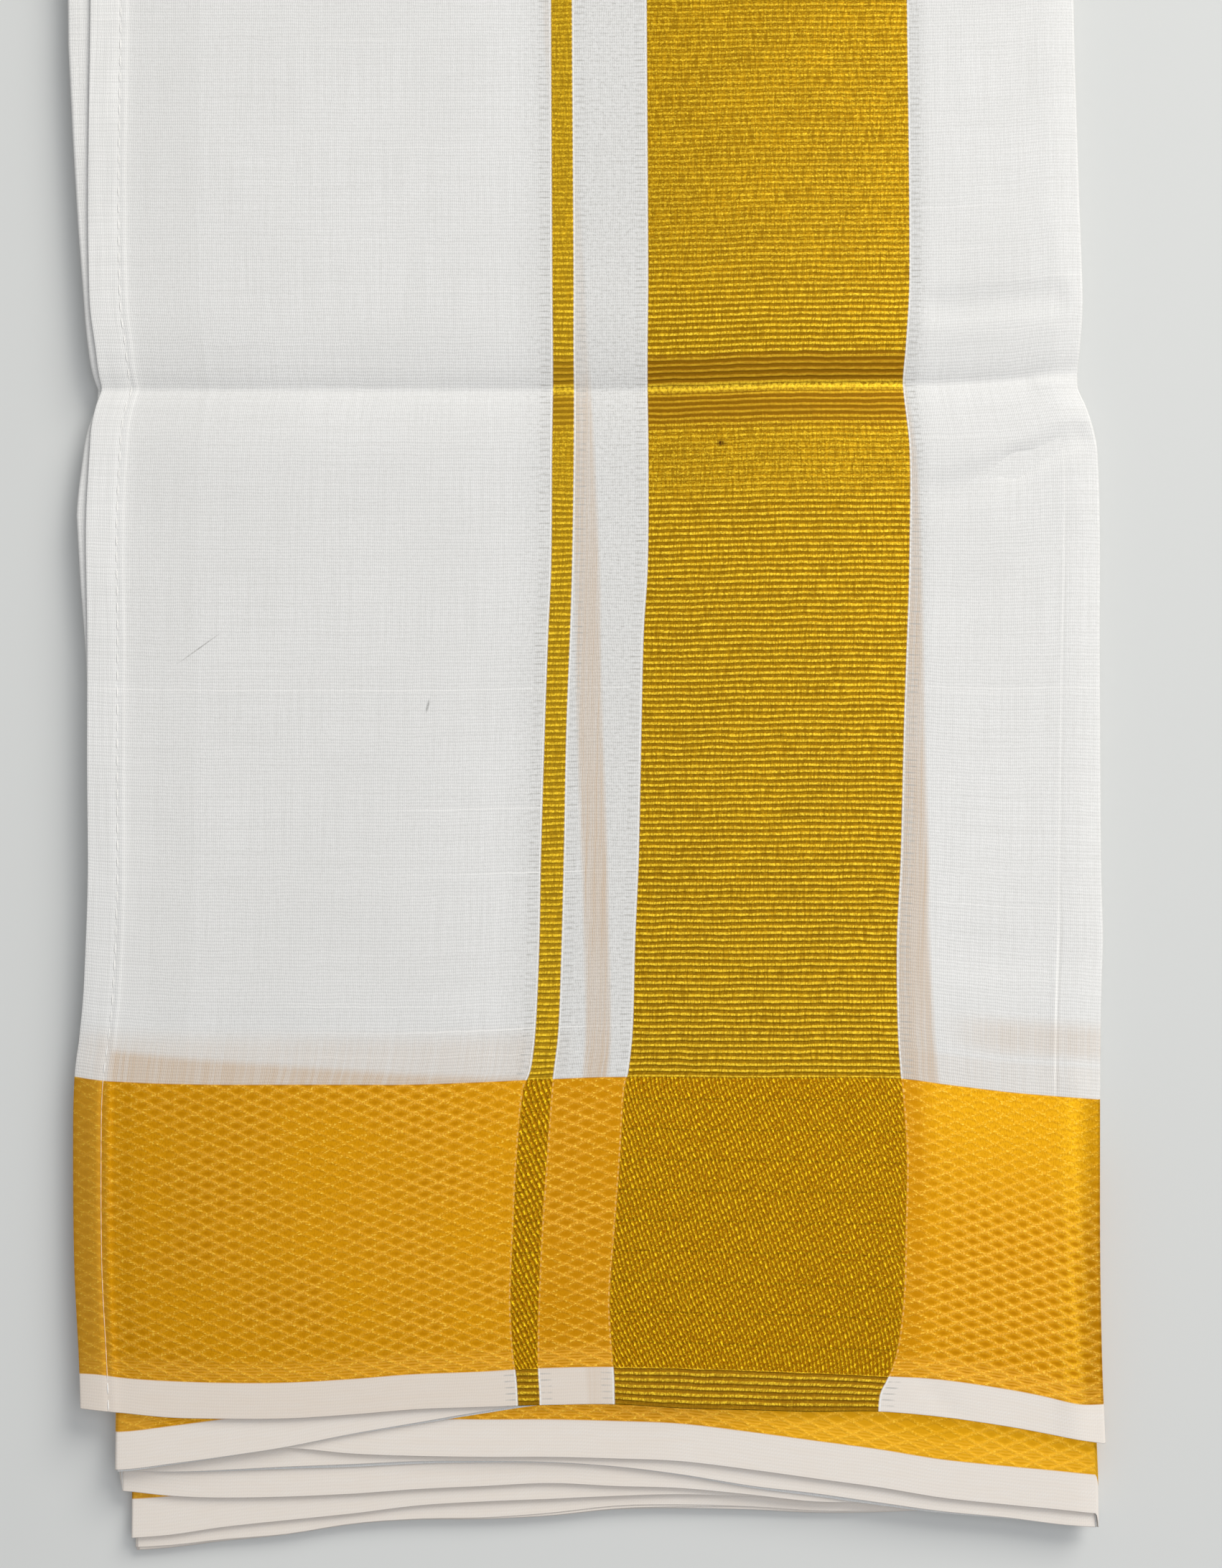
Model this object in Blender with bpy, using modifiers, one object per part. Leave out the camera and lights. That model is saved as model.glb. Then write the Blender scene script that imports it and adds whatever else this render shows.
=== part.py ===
"""A folded dhoti cloth, lying flat.

The cloth is 3.8 m long and 1.27 m wide. It is folded once along its length, so that its two
selvedges lie together at the front, and then pleated to and fro in panels a twelfth of its
length. Every panel here is one wall of the two half widths that lie together in it. The front
panel, its turned end hem and the five panels under it show as a fan at the front edge, and the
rest of the folded cloth is one rounded core that is grooved between its layers.

Tables are in millimetres: x from the hem's straight line to the right, y from the front
panel's selvedge to the back, and z from the surface that the cloth lies on.
"""

from math import cos, pi, sin

import bmesh
import bpy

MM = 0.001
NAME = "folded_dhoti_cloth"

# Driving dimensions of the cloth
CLOTH_WIDTH = 1270.0
FOLDED_DEPTH = CLOTH_WIDTH / 2
PACKET_CREASE = CLOTH_WIDTH / 4
HEM_WIDTH = 11.8

# Thicknesses and clearances
WALL = 1.0
HEM_WALL = 1.3
GAP = 0.3
CORE_HEIGHT = 3.4
PITCH = WALL + GAP
FOLD_RADIUS = (2 * WALL + GAP) / 2

# Press crease across the middle, where the packet was folded once more
CREASE_DEPTH = 2.2
CREASE_REACH = 24.0

# Sag of the front panel's corner past the folds that carry it
SAG_PER_MM2 = 0.011

# Where the edges in the tables are looked at from, over the front panel. A lower layer is further
# from there, so it lies further out than it looks
EYE_HEIGHT = 678.0
EYE_Y = 192.7

# The side edges: the front panel's hem, the left fold under it and its right fold
SIDES = (
    # y, hem, fold_left, fold_right
    (-20.0, 0.4, 10.2, 315.4),
    (12.0, -0.8, 10.2, 314.4),
    (45.0, -2.9, 9.8, 314.1),
    (88.0, -3.7, 8.7, 314.5),
    (112.0, -2.2, 7.7, 314.9),
    (135.0, -0.3, 5.5, 315.3),
    (165.0, 0.3, 2.8, 315.7),
    (200.0, -0.3, 0.0, 315.8),
    (240.0, -0.7, -2.1, 316.0),
    (274.0, -1.5, -5.2, 316.4),
    (298.0, -0.6, -3.2, 315.9),
    (308.0, 0.2, -1.2, 313.6),
    (PACKET_CREASE, 2.3, 0.6, 310.2),
    (330.0, 0.8, -2.2, 310.9),
    (345.0, -1.2, -3.7, 311.8),
    (380.0, -2.1, -6.6, 311.0),
    (441.0, -2.0, -10.0, 309.9),
    (FOLDED_DEPTH, -2.6, -10.8, 309.0),
)
SIDE_COLUMNS = {"hem": 1, "fold_left": 2, "fold_right": 3}

# The front edges, fanned: where each layer's selvedge looks to be, in y
SELVEDGES = (
    # x, front, ply_2, ply_3, ply_4, ply_5, ply_6, core
    (0.0, 0.4, -17.8, -16.3, -18.0, -24.1, -38.2, -42.7),
    (13.0, -0.7, -17.8, -16.3, -18.0, -24.1, -38.2, -42.7),
    (27.0, -2.0, -16.1, -14.6, -18.3, -25.5, -37.2, -41.8),
    (42.0, -2.4, -14.1, -13.0, -17.8, -26.1, -35.0, -39.9),
    (62.0, -2.4, -11.1, -11.2, -16.8, -25.8, -32.9, -38.0),
    (83.0, -1.2, -7.0, -12.9, -16.0, -24.9, -30.8, -34.7),
    (103.0, 0.4, -3.6, -13.6, -15.1, -23.5, -28.4, -33.4),
    (123.0, 1.1, -0.2, -13.9, -15.0, -22.6, -27.2, -33.3),
    (144.0, 1.8, 2.8, -13.9, -15.4, -21.7, -26.4, -32.2),
    (164.0, 2.0, 3.3, -14.4, -16.7, -22.6, -25.5, -30.3),
    (184.0, 0.8, 2.1, -15.2, -19.1, -23.2, -25.0, -30.0),
    (206.0, 0.2, 1.5, -17.8, -22.6, -25.2, -25.6, -30.4),
    (225.0, -0.3, 1.0, -20.4, -24.8, -27.2, -26.3, -31.3),
    (245.0, -0.2, 1.1, -23.1, -27.6, -27.5, -26.5, -31.2),
    (264.0, -1.8, -0.4, -26.2, -30.2, -28.0, -26.6, -30.5),
    (285.0, -4.8, -3.2, -28.4, -32.2, -29.4, -27.7, -30.7),
    (300.0, -7.6, -6.1, -29.8, -34.1, -30.9, -28.6, -31.1),
    (314.0, -10.2, -8.6, -31.4, -35.3, -32.2, -29.5, -31.6),
)
SELVEDGE_COLUMNS = {
    "front": 1, "ply_2": 2, "ply_3": 3, "ply_4": 4, "ply_5": 5, "ply_6": 6, "core": 7,
}

# The panels under the front one. A fold at a side carries the cloth down to the next panel
LOWER_PLIES = (
    # name, layer under the front, left_inset, right_inset, fold side, back_inset
    ("ply_2", 1, 0.0, 0.0, "left", 1.5),
    ("ply_3", 2, 0.0, 2.2, "right", 3.0),
    ("ply_4", 3, 0.6, 2.2, "left", 2.0),
    ("ply_5", 4, 0.6, 3.0, "right", 4.0),
    ("ply_6", 5, 4.5, 3.0, None, 2.5),
)
CORE_LEFT_INSET = 5.4
CORE_RIGHT_INSET = 2.6
CORE_BACK_INSET = 5.0

# Outline of the core's edge, from its top face down: how far in, and the share of its height
CORE_EDGE = (
    # inset, height share
    (0.10, 0.90),
    (0.00, 0.80),
    (0.10, 0.70),
    (0.80, 0.66),
    (0.10, 0.62),
    (0.00, 0.50),
    (0.10, 0.38),
    (0.80, 0.34),
    (0.10, 0.30),
    (0.00, 0.18),
    (0.15, 0.06),
    (0.60, 0.00),
)
CORE_EDGE_ROUNDING = 0.6

# Mesh rows. The crease has the same rows in every layer, so that the layers stay parallel
CREASE_ROWS = (-24.0, -14.0, -7.0, -2.5, 0.0, 2.5, 7.0, 14.0, 24.0)
FRONT_ROWS = (24.0, 45.0, 66.0, 88.0, 100.0, 112.0, 124.0, 135.0, 165.0, 200.0, 240.0, 274.0)
FRONT_BACK_ROWS = (360.0, 380.0, 410.0, 441.0, 540.0)
PLY_ROWS = (24.0, 70.0, 112.0, 140.0, 165.0, 200.0, 240.0, 274.0)
PLY_BACK_ROWS = (380.0, 441.0, 540.0)
FAN_SHARES = (0.0, 0.3, 0.65)
FAN_DEPTH = 24.0
FOLD_STEPS = 6
FRONT_COLUMNS = 18
PLY_COLUMNS = 15
HEM_COLUMNS = 4


def read_table(table, column, at):
    """Return the value of one column, worked out between the rows of a table."""
    if at <= table[0][0]:
        return table[0][column]
    for low, high in zip(table, table[1:]):
        if at <= high[0]:
            share = (at - low[0]) / (high[0] - low[0])
            return low[column] + share * (high[column] - low[column])
    return table[-1][column]


def side(name, y):
    """Return x of a side edge at y."""
    return read_table(SIDES, SIDE_COLUMNS[name], y)


def selvedge(name, x):
    """Return y of a layer's front edge at x, from where it looks to be and how deep it lies."""
    column = SELVEDGE_COLUMNS[name]
    depth = (column - SELVEDGE_COLUMNS["front"]) * PITCH
    return EYE_Y + (read_table(SELVEDGES, column, x) - EYE_Y) * (1 + depth / EYE_HEIGHT)


X_MIDDLE = (min(row[2] for row in SIDES) + max(row[3] for row in SIDES)) / 2
Y_FRONT = selvedge("core", side("fold_left", 0.0) + CORE_LEFT_INSET)
Y_MIDDLE = (FOLDED_DEPTH + Y_FRONT) / 2


def place(x, y, z):
    """Turn a place in the tables' millimetres into metres about the part's origin."""
    return ((x - X_MIDDLE) * MM, (y - Y_MIDDLE) * MM, z * MM)


def crease_drop(y):
    """Return how far the pressed crease lowers every layer at y."""
    reach = min(abs(y - PACKET_CREASE) / CREASE_REACH, 1.0)
    return CREASE_DEPTH * (1.0 - reach) ** 2


def front_sag(x, y):
    """Return how far the front panel sags at x, y where no fold lies under it."""
    overhang = max(side("fold_left", y) - x, 0.0)
    return SAG_PER_MM2 * overhang ** 2


def layer_height(layer):
    """Return z of the middle of a wall; layer 0 is the front panel and layer 5 is ply_6."""
    return CORE_HEIGHT + GAP + WALL / 2 + (5 - layer) * PITCH


def rows_of(name, front_rows, back_rows, back):
    """Return one function for each row, which gives y at x."""
    crease_rows = [PACKET_CREASE + step for step in CREASE_ROWS]
    shared = [*front_rows, *crease_rows, *back_rows, back]

    def fanned(share):
        return lambda x: selvedge(name, x) + share * (FAN_DEPTH - selvedge(name, x))

    def straight(y):
        return lambda x: y

    return [fanned(share) for share in FAN_SHARES] + [straight(y) for y in shared]


def grid(columns, rows):
    """Return a bmesh with a grid, and its vertices by column and row."""
    bm = bmesh.new()
    made = bmesh.ops.create_grid(bm, x_segments=columns, y_segments=rows, size=0.5)
    verts = {}
    for vert in made["verts"]:
        column = round((vert.co.x + 0.5) * columns)
        row = round((vert.co.y + 0.5) * rows)
        verts[column, row] = vert
    return bm, verts


def cotton(name, colour, roughness):
    """Return the material of one sub-part."""
    material = bpy.data.materials.new(name)
    material.use_nodes = True
    shader = material.node_tree.nodes["Principled BSDF"]
    shader.inputs["Base Color"].default_value = (*colour, 1.0)
    shader.inputs["Roughness"].default_value = roughness
    shader.inputs["Metallic"].default_value = 0.0
    material.diffuse_color = (*colour, 1.0)
    return material


def finish(bm, name, collection, colour):
    """Turn a bmesh into a named object with a material of its own."""
    bmesh.ops.recalc_face_normals(bm, faces=bm.faces)
    mesh = bpy.data.meshes.new(name)
    bm.to_mesh(mesh)
    bm.free()
    item = bpy.data.objects.new(name, mesh)
    collection.objects.link(item)
    item.data.materials.append(cotton(name + "_cotton", colour, 0.85))
    return item


def thicken(item, thickness):
    """Give an open surface its wall, half on each side."""
    wall = item.modifiers.new("Wall", "SOLIDIFY")
    wall.thickness = thickness * MM
    wall.offset = 0.0
    wall.use_even_offset = True


def wall_point(left, right, fold, share, step, z):
    """Return x and z across a panel: straight between its edges, then round its fold.

    The straight stretch uses share from 0 to 1 and the fold uses step from 0 to 1.
    """
    bend = FOLD_RADIUS - WALL / 2
    start = left
    end = right
    if fold == "left":
        start = left + FOLD_RADIUS
    if fold == "right":
        end = right - FOLD_RADIUS
    if step <= 0.0:
        return start + share * (end - start), z
    angle = pi * step
    reach = bend * sin(angle)
    x = end + reach if fold == "right" else start - reach
    return x, z - bend + bend * cos(angle)


def build_wall(name, sides_at, fold, layer, rows, columns, collection, colour, sag=None):
    """Build one panel as an open surface through its rows, with a fold at one side."""
    bends = FOLD_STEPS if fold else 0
    bm, verts = grid(columns + bends, len(rows) - 1)
    base = layer_height(layer)
    for (column, row), vert in verts.items():
        if fold == "left":
            flat = min(max(column - bends, 0), columns) / columns
            step = max(bends - column, 0) / FOLD_STEPS
        else:
            flat = min(column, columns) / columns
            step = max(column - columns, 0) / FOLD_STEPS
        left, right = sides_at(0.0)
        y = rows[row](left + flat * (right - left))
        left, right = sides_at(y)
        x, z = wall_point(left, right, fold, flat, step, base)
        z -= crease_drop(y)
        if sag:
            z -= sag(x, y)
        vert.co = place(x, y, z)
    item = finish(bm, name, collection, colour)
    thicken(item, WALL)
    return item


def build_front_panel(collection):
    """Build the front panel, from the hem's inner edge round the right fold."""
    rows = rows_of("front", FRONT_ROWS, FRONT_BACK_ROWS, FOLDED_DEPTH)

    def sides_at(y):
        return side("hem", y) + HEM_WIDTH + GAP, side("fold_right", y)

    return build_wall("front_panel", sides_at, "right", 0, rows, FRONT_COLUMNS,
                      collection, (0.82, 0.81, 0.79), front_sag)


def build_end_hem(collection):
    """Build the turned and stitched hem of the cloth's cut end, a little proud of the panel."""
    rows = rows_of("front", FRONT_ROWS, FRONT_BACK_ROWS, FOLDED_DEPTH)
    bm, verts = grid(HEM_COLUMNS, len(rows) - 1)
    base = layer_height(0) + (HEM_WALL - WALL) / 2
    for (column, row), vert in verts.items():
        along = HEM_WIDTH * column / HEM_COLUMNS
        y = rows[row](side("hem", 0.0) + along)
        x = side("hem", y) + along
        vert.co = place(x, y, base - crease_drop(y) - front_sag(x, y))
    item = finish(bm, "end_hem", collection, (0.84, 0.83, 0.81))
    thicken(item, HEM_WALL)
    rounding = item.modifiers.new("Turned edge", "BEVEL")
    rounding.width = 0.4 * MM
    rounding.segments = 2
    rounding.limit_method = "ANGLE"
    rounding.angle_limit = pi / 3
    return item


def inset_sides(left_inset, right_inset):
    """Return a function that gives the side edges of a panel under the front one."""
    return lambda y: (side("fold_left", y) + left_inset, side("fold_right", y) - right_inset)


def build_lower_plies(collection):
    """Build the panels that the front fan shows, each with the fold at its end."""
    items = []
    fold_above = "right"
    for name, layer, left_inset, right_inset, fold, back_inset in LOWER_PLIES:
        rows = rows_of(name, PLY_ROWS, PLY_BACK_ROWS, FOLDED_DEPTH - back_inset)
        left_stop = FOLD_RADIUS + GAP if fold_above == "left" else 0.0
        right_stop = FOLD_RADIUS + GAP if fold_above == "right" else 0.0
        sides_at = inset_sides(left_inset + left_stop, right_inset + right_stop)
        shade = 0.80 - 0.01 * layer
        items.append(build_wall(name, sides_at, fold, layer, rows, PLY_COLUMNS,
                                collection, (shade, shade, shade - 0.02)))
        fold_above = fold
    return items


def build_core(collection):
    """Build the hidden layers as one flat-bottomed solid, grooved between layers at its edge."""
    rows = rows_of("core", PLY_ROWS, PLY_BACK_ROWS, FOLDED_DEPTH - CORE_BACK_INSET)
    last_row = len(rows) - 1
    bm, verts = grid(PLY_COLUMNS, last_row)

    def plan(column, row, inset):
        left = side("fold_left", 0.0) + CORE_LEFT_INSET
        right = side("fold_right", 0.0) - CORE_RIGHT_INSET
        share = column / PLY_COLUMNS
        y = rows[row](left + share * (right - left))
        left = side("fold_left", y) + CORE_LEFT_INSET
        right = side("fold_right", y) - CORE_RIGHT_INSET
        x = left + share * (right - left)
        x += inset * ((column == 0) - (column == PLY_COLUMNS))
        return x, y + inset * ((row == 0) - (row == last_row))

    for (column, row), vert in verts.items():
        x, y = plan(column, row, CORE_EDGE_ROUNDING)
        vert.co = place(x, y, CORE_HEIGHT - crease_drop(y))

    where = {vert: spot for spot, vert in verts.items()}
    rim = [edge for edge in bm.edges if edge.is_boundary]
    for inset, height_share in CORE_EDGE:
        before = {vert for edge in rim for vert in edge.verts}
        made = bmesh.ops.extrude_edge_only(bm, edges=rim)["geom"]
        fresh = [item for item in made if isinstance(item, bmesh.types.BMVert)]
        for vert in fresh:
            above = next(edge.other_vert(vert) for edge in vert.link_edges
                         if edge.other_vert(vert) in before)
            where[vert] = where[above]
            x, y = plan(*where[vert], inset)
            vert.co = place(x, y, height_share * (CORE_HEIGHT - crease_drop(y)))
        rim = [item for item in made if isinstance(item, bmesh.types.BMEdge) and item.is_boundary]
    bmesh.ops.contextual_create(bm, geom=rim)
    return finish(bm, "folded_core", collection, (0.74, 0.74, 0.71))


def clear_scene():
    """Remove whatever the open file holds."""
    for item in list(bpy.data.objects):
        bpy.data.objects.remove(item, do_unlink=True)


def main():
    """Build the folded cloth in a collection of its own."""
    clear_scene()
    collection = bpy.data.collections.new(NAME)
    bpy.context.scene.collection.children.link(collection)
    build_front_panel(collection)
    build_end_hem(collection)
    build_lower_plies(collection)
    build_core(collection)


if __name__ == "__main__":
    main()
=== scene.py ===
"""The looks of a folded white cotton dhoti cloth with woven gold zari.

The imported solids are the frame. Each panel is replaced by a thin sheet of two leaves, the two
half widths of the cloth that lie together in it, joined at the back fold. The tables are in
millimetres: x from the hem's straight line to the right, y from the front panel's selvedge to
the back. Across the cloth, u is how far a thread lies from the hemmed end and v how far it lies
from the selvedge, so the weave and the zari follow each leaf.
"""

from math import cos, pi, radians, sin, sqrt

import bmesh
import bpy
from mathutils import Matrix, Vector, noise


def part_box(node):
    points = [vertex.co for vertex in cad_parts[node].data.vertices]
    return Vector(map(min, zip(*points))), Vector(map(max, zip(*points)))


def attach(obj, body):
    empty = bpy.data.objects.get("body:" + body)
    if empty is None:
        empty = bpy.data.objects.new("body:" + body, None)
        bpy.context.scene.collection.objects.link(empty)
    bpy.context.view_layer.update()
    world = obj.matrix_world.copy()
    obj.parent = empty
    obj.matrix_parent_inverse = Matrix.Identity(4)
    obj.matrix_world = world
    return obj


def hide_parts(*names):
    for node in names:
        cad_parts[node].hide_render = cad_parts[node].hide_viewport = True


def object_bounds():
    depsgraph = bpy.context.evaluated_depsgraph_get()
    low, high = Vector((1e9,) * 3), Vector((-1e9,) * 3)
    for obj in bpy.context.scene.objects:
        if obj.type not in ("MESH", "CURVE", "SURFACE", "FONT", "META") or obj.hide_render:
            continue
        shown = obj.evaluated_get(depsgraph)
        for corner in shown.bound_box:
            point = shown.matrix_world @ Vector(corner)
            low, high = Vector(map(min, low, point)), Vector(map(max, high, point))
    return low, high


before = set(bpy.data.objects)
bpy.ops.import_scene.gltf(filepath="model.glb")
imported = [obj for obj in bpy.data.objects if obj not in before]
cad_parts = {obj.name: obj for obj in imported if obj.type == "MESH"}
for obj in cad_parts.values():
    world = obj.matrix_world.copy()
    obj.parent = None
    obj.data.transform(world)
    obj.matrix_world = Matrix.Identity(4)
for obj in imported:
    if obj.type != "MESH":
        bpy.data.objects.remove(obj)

bl_info = {
    "name": "Folded dhoti cloth",
    "version": (1, 0, 0),
    "blender": (4, 5, 0),
    "location": "3D Viewport > Sidebar > Dhoti",
    "description": "Builds the woven panels, hem stitches and studio of a folded dhoti cloth",
    "category": "Object",
}

MM = 0.001
CAD_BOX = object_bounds()

# Where the cloth is looked at from, over its front panel. A lower layer is further from there, so
# it lies further out than it looks
EYE_HEIGHT = 678.0
EYE_X = 162.9
EYE_Y = 192.7

# The side edges: the front panel's hem, the left fold under it and its right fold
SIDES = (
    # y, hem, fold_left, fold_right
    (-20.0, 0.4, 10.2, 315.4),
    (12.0, -0.8, 10.2, 314.4),
    (45.0, -2.9, 9.8, 314.1),
    (88.0, -3.7, 8.7, 314.5),
    (103.0, -3.3, 8.1, 314.7),
    (113.0, -2.1, 7.6, 314.9),
    (125.0, -0.9, 6.5, 315.2),
    (144.0, -0.1, 4.7, 316.0),
    (165.0, 0.3, 2.8, 315.7),
    (200.0, -0.3, 0.0, 315.8),
    (240.0, -0.7, -2.1, 316.0),
    (274.0, -1.5, -5.2, 316.4),
    (298.0, -0.6, -3.2, 315.9),
    (305.0, -0.3, -2.0, 314.7),
    (312.0, 0.9, 0.2, 312.6),
    (317.5, 2.3, 0.6, 310.4),
    (322.0, 1.6, -0.9, 310.3),
    (330.0, 0.7, -2.2, 310.9),
    (345.0, -1.2, -3.7, 311.8),
    (380.0, -2.1, -6.6, 311.0),
    (441.0, -2.0, -10.0, 309.9),
    (635.0, -2.6, -10.8, 309.0),
)
SIDE = {"hem": 1, "fold_left": 2, "fold_right": 3}

# The front edges, fanned: where each layer's selvedge looks to be, in y
SELVEDGES = (
    # x, front, ply_2, ply_3, ply_4, ply_5, ply_6, core
    (0.0, 0.4, -17.8, -16.3, -18.0, -24.1, -38.2, -42.7),
    (13.0, -0.7, -17.8, -16.3, -18.0, -24.1, -38.2, -42.7),
    (27.0, -2.0, -16.1, -14.6, -18.3, -25.5, -37.2, -41.8),
    (42.0, -2.4, -14.1, -13.0, -17.8, -26.1, -35.0, -39.9),
    (62.0, -2.4, -11.1, -11.2, -16.8, -25.8, -32.9, -38.0),
    (83.0, -1.2, -7.0, -12.9, -16.0, -24.9, -30.8, -34.7),
    (103.0, 0.4, -3.6, -13.6, -15.1, -23.5, -28.4, -33.4),
    (123.0, 1.1, -0.2, -13.9, -15.0, -22.6, -27.2, -33.3),
    (144.0, 1.8, 2.8, -13.9, -15.4, -21.7, -26.4, -32.2),
    (164.0, 2.0, 3.3, -14.4, -16.7, -22.6, -25.5, -30.3),
    (184.0, 0.8, 2.1, -15.2, -19.1, -23.2, -25.0, -30.0),
    (206.0, 0.2, 1.5, -17.8, -22.6, -25.2, -25.6, -30.4),
    (225.0, -0.3, 1.0, -20.4, -24.8, -27.2, -26.3, -31.3),
    (245.0, -0.2, 1.1, -23.1, -27.6, -27.5, -26.5, -31.2),
    (264.0, -1.8, -0.4, -26.2, -30.2, -28.0, -26.6, -30.5),
    (285.0, -4.8, -3.2, -28.4, -32.2, -29.4, -27.7, -30.7),
    (300.0, -7.6, -6.1, -29.8, -34.1, -30.9, -28.6, -31.1),
    (314.0, -10.2, -8.6, -31.4, -35.3, -32.2, -29.5, -31.6),
)
SELVEDGE = {"front": 1, "ply_2": 2, "ply_3": 3, "ply_4": 4, "ply_5": 5, "ply_6": 6, "core": 7}

# How the zari stripe and band, woven straight, wander on the front panel
WEFT_ZARI = (
    # y, stripe_left, stripe_right, band_left, band_right
    (-5.0, 134.6, 141.0, 164.2, 244.9),
    (5.0, 134.2, 140.9, 164.0, 245.5),
    (10.0, 133.8, 140.6, 163.9, 248.0),
    (18.0, 132.8, 140.3, 163.3, 250.7),
    (34.0, 132.0, 140.6, 162.5, 252.9),
    (53.0, 132.7, 141.4, 163.9, 253.6),
    (78.0, 133.9, 143.1, 165.8, 254.2),
    (98.0, 135.8, 144.5, 167.0, 253.0),
    (104.0, 138.0, 145.2, 168.3, 252.4),
    (116.0, 139.5, 146.6, 169.6, 251.7),
    (144.0, 140.7, 147.6, 170.4, 251.6),
    (169.0, 141.1, 148.2, 171.5, 252.9),
    (211.0, 142.3, 149.0, 172.4, 254.2),
    (240.0, 143.3, 150.1, 173.1, 255.4),
    (261.0, 144.2, 150.7, 174.4, 256.2),
    (297.0, 144.4, 151.2, 174.6, 256.6),
    (319.0, 144.6, 151.2, 174.4, 254.9),
    (331.0, 144.6, 151.1, 174.4, 255.7),
    (353.0, 144.4, 151.1, 174.6, 256.9),
    (441.0, 143.9, 150.5, 174.2, 256.7),
    (635.0, 143.4, 150.0, 173.8, 256.4),
)

# How the border's two edges wander along the front panel
BORDER_EDGES = (
    # x, strip_top, border_top
    (-5.0, 11.0, 102.2),
    (5.0, 10.9, 100.9),
    (13.0, 9.9, 100.4),
    (25.0, 9.1, 99.9),
    (42.0, 8.5, 99.6),
    (62.0, 8.5, 99.6),
    (83.0, 9.6, 99.6),
    (101.0, 11.0, 99.6),
    (122.0, 11.8, 100.3),
    (141.0, 12.9, 101.2),
    (164.0, 13.3, 102.0),
    (207.0, 12.2, 101.8),
    (251.0, 10.3, 101.6),
    (266.0, 9.3, 99.7),
    (285.0, 6.6, 97.4),
    (295.0, 4.7, 96.5),
    (307.0, 2.0, 95.6),
    (316.0, 1.7, 94.8),
)

# The line of the press crease, which turns back towards the right fold
CREASE_LINE = (
    # x, y
    (-12.0, 317.3),
    (170.0, 317.3),
    (215.0, 318.6),
    (262.0, 319.0),
    (286.0, 320.2),
    (304.0, 322.0),
    (318.0, 322.6),
)

# Soft folds and pulled threads pressed into the front panel
PRESSED_LINES = (
    # from_x, from_y, to_x, to_y, depth, half_width
    (309.0, 302.0, 290.0, 293.0, 1.05, 6.5),
    (290.0, 293.0, 266.0, 284.0, 0.85, 7.5),
    (305.0, 272.0, 272.0, 249.0, 0.35, 9.0),
    (266.0, 343.0, 302.0, 346.0, 0.75, 8.0),
    (283.0, 362.0, 300.0, 372.0, -0.30, 9.0),
    (298.0, 319.5, 309.0, 321.5, -0.35, 4.0),
    (304.9, 296.0, 303.1, 213.0, -0.05, 1.3),
    (303.1, 213.0, 301.3, 148.0, -0.05, 1.3),
    (301.3, 148.0, 300.2, 95.0, -0.05, 1.3),
    (301.0, 137.0, 299.8, 107.0, -0.22, 1.7),
    (306.5, 99.0, 305.0, -9.0, -0.40, 7.0),
    (268.0, 139.5, 316.0, 136.0, 0.35, 6.0),
    (22.0, 117.5, 60.0, 114.5, 0.32, 4.0),
    (60.0, 114.5, 128.0, 112.5, 0.32, 4.0),
    (18.6, 200.0, 17.2, 104.0, 0.10, 1.2),
    (2.0, 268.0, 14.0, 274.0, 0.20, 3.0),
    (-3.0, 170.0, 9.0, 166.0, 0.18, 1.6),
    (-4.0, 113.0, 8.0, 110.5, 0.20, 1.8),
    (258.0, 10.0, 268.0, -1.0, 0.30, 2.5),
)

# The soft waves of the front panel and of the lower ones
FRONT_WAVES = (
    # height, length_x, length_y, seed
    (0.11, 46.0, 70.0, 1.7),
    (0.05, 15.0, 22.0, 5.1),
)
LOWER_WAVE = (0.09, 38.0, 30.0)

# The panels under the front one
LOWER_PANELS = (
    # node, left_inset, right_inset, fold side, fold side above, back_inset, second leaf's lead
    ("ply_2", 0.0, 0.0, "left", "right", 1.5, 0.5),
    ("ply_3", 0.0, 2.2, "right", "left", 3.0, -0.5),
    ("ply_4", 0.6, 2.2, "left", "right", 2.0, 0.6),
    ("ply_5", 0.6, 3.0, "right", "left", 4.0, -0.8),
    ("ply_6", 4.5, 3.0, None, "right", 2.5, -0.6),
)
CORE_LEFT_INSET = 5.4
CORE_RIGHT_INSET = 2.6
CORE_BACK_INSET = 5.0

# The cloth's panels, and the core's leaves, which draw back unevenly towards the underside
CORE_LEAVES = 12
CORE_RAGGED = 0.5
CORE_LEAN = 0.09

# Thicknesses of the solids that the sheets stand for
WALL = 1.0
GAP = 0.3
FOLD_RADIUS = (2 * WALL + GAP) / 2
BEND = FOLD_RADIUS - WALL / 2
BEND_ANGLES = [22.5 * i for i in range(1, 9)]
# What is left between a side fold and the panel that it runs into
JOIN = 0.03

# One leaf of cloth, and how far its middle lies from the panel's middle
LEAF = 0.26
LEAF_LIFT = 0.35

# How far the turned hem stands proud, and how far its stitches pull it down
HEM_PROUD = 0.20
SEAM_DEPTH = 0.10

# The radius of the hem's fold, and how its upper and lower leaf share its height
HEM_TURN = 0.34
HEM_FOLD_MIDDLE = 0.4
HEM_FOLD_SWING = 0.6

# A stitch dips at its ends, and in the border the thread is finer and pulled into one line
STITCH_RISE = 0.1
STITCH_DIP = 0.25
BORDER_STITCH_SHARE = 0.57
BORDER_THREAD_SHARE = 0.62

# The press crease and the rounding towards the side folds
CREASE_DEPTH = 2.1
CREASE_REACH = 24.0
PINCH_DEPTH = 0.45
PINCH_REACH = 7.0
ROLL_DEPTH = 1.2
ROLL_REACH = 11.0
LEFT_ROLL_SHARE = 0.25
SAG_PER_MM2 = 0.011

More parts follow.
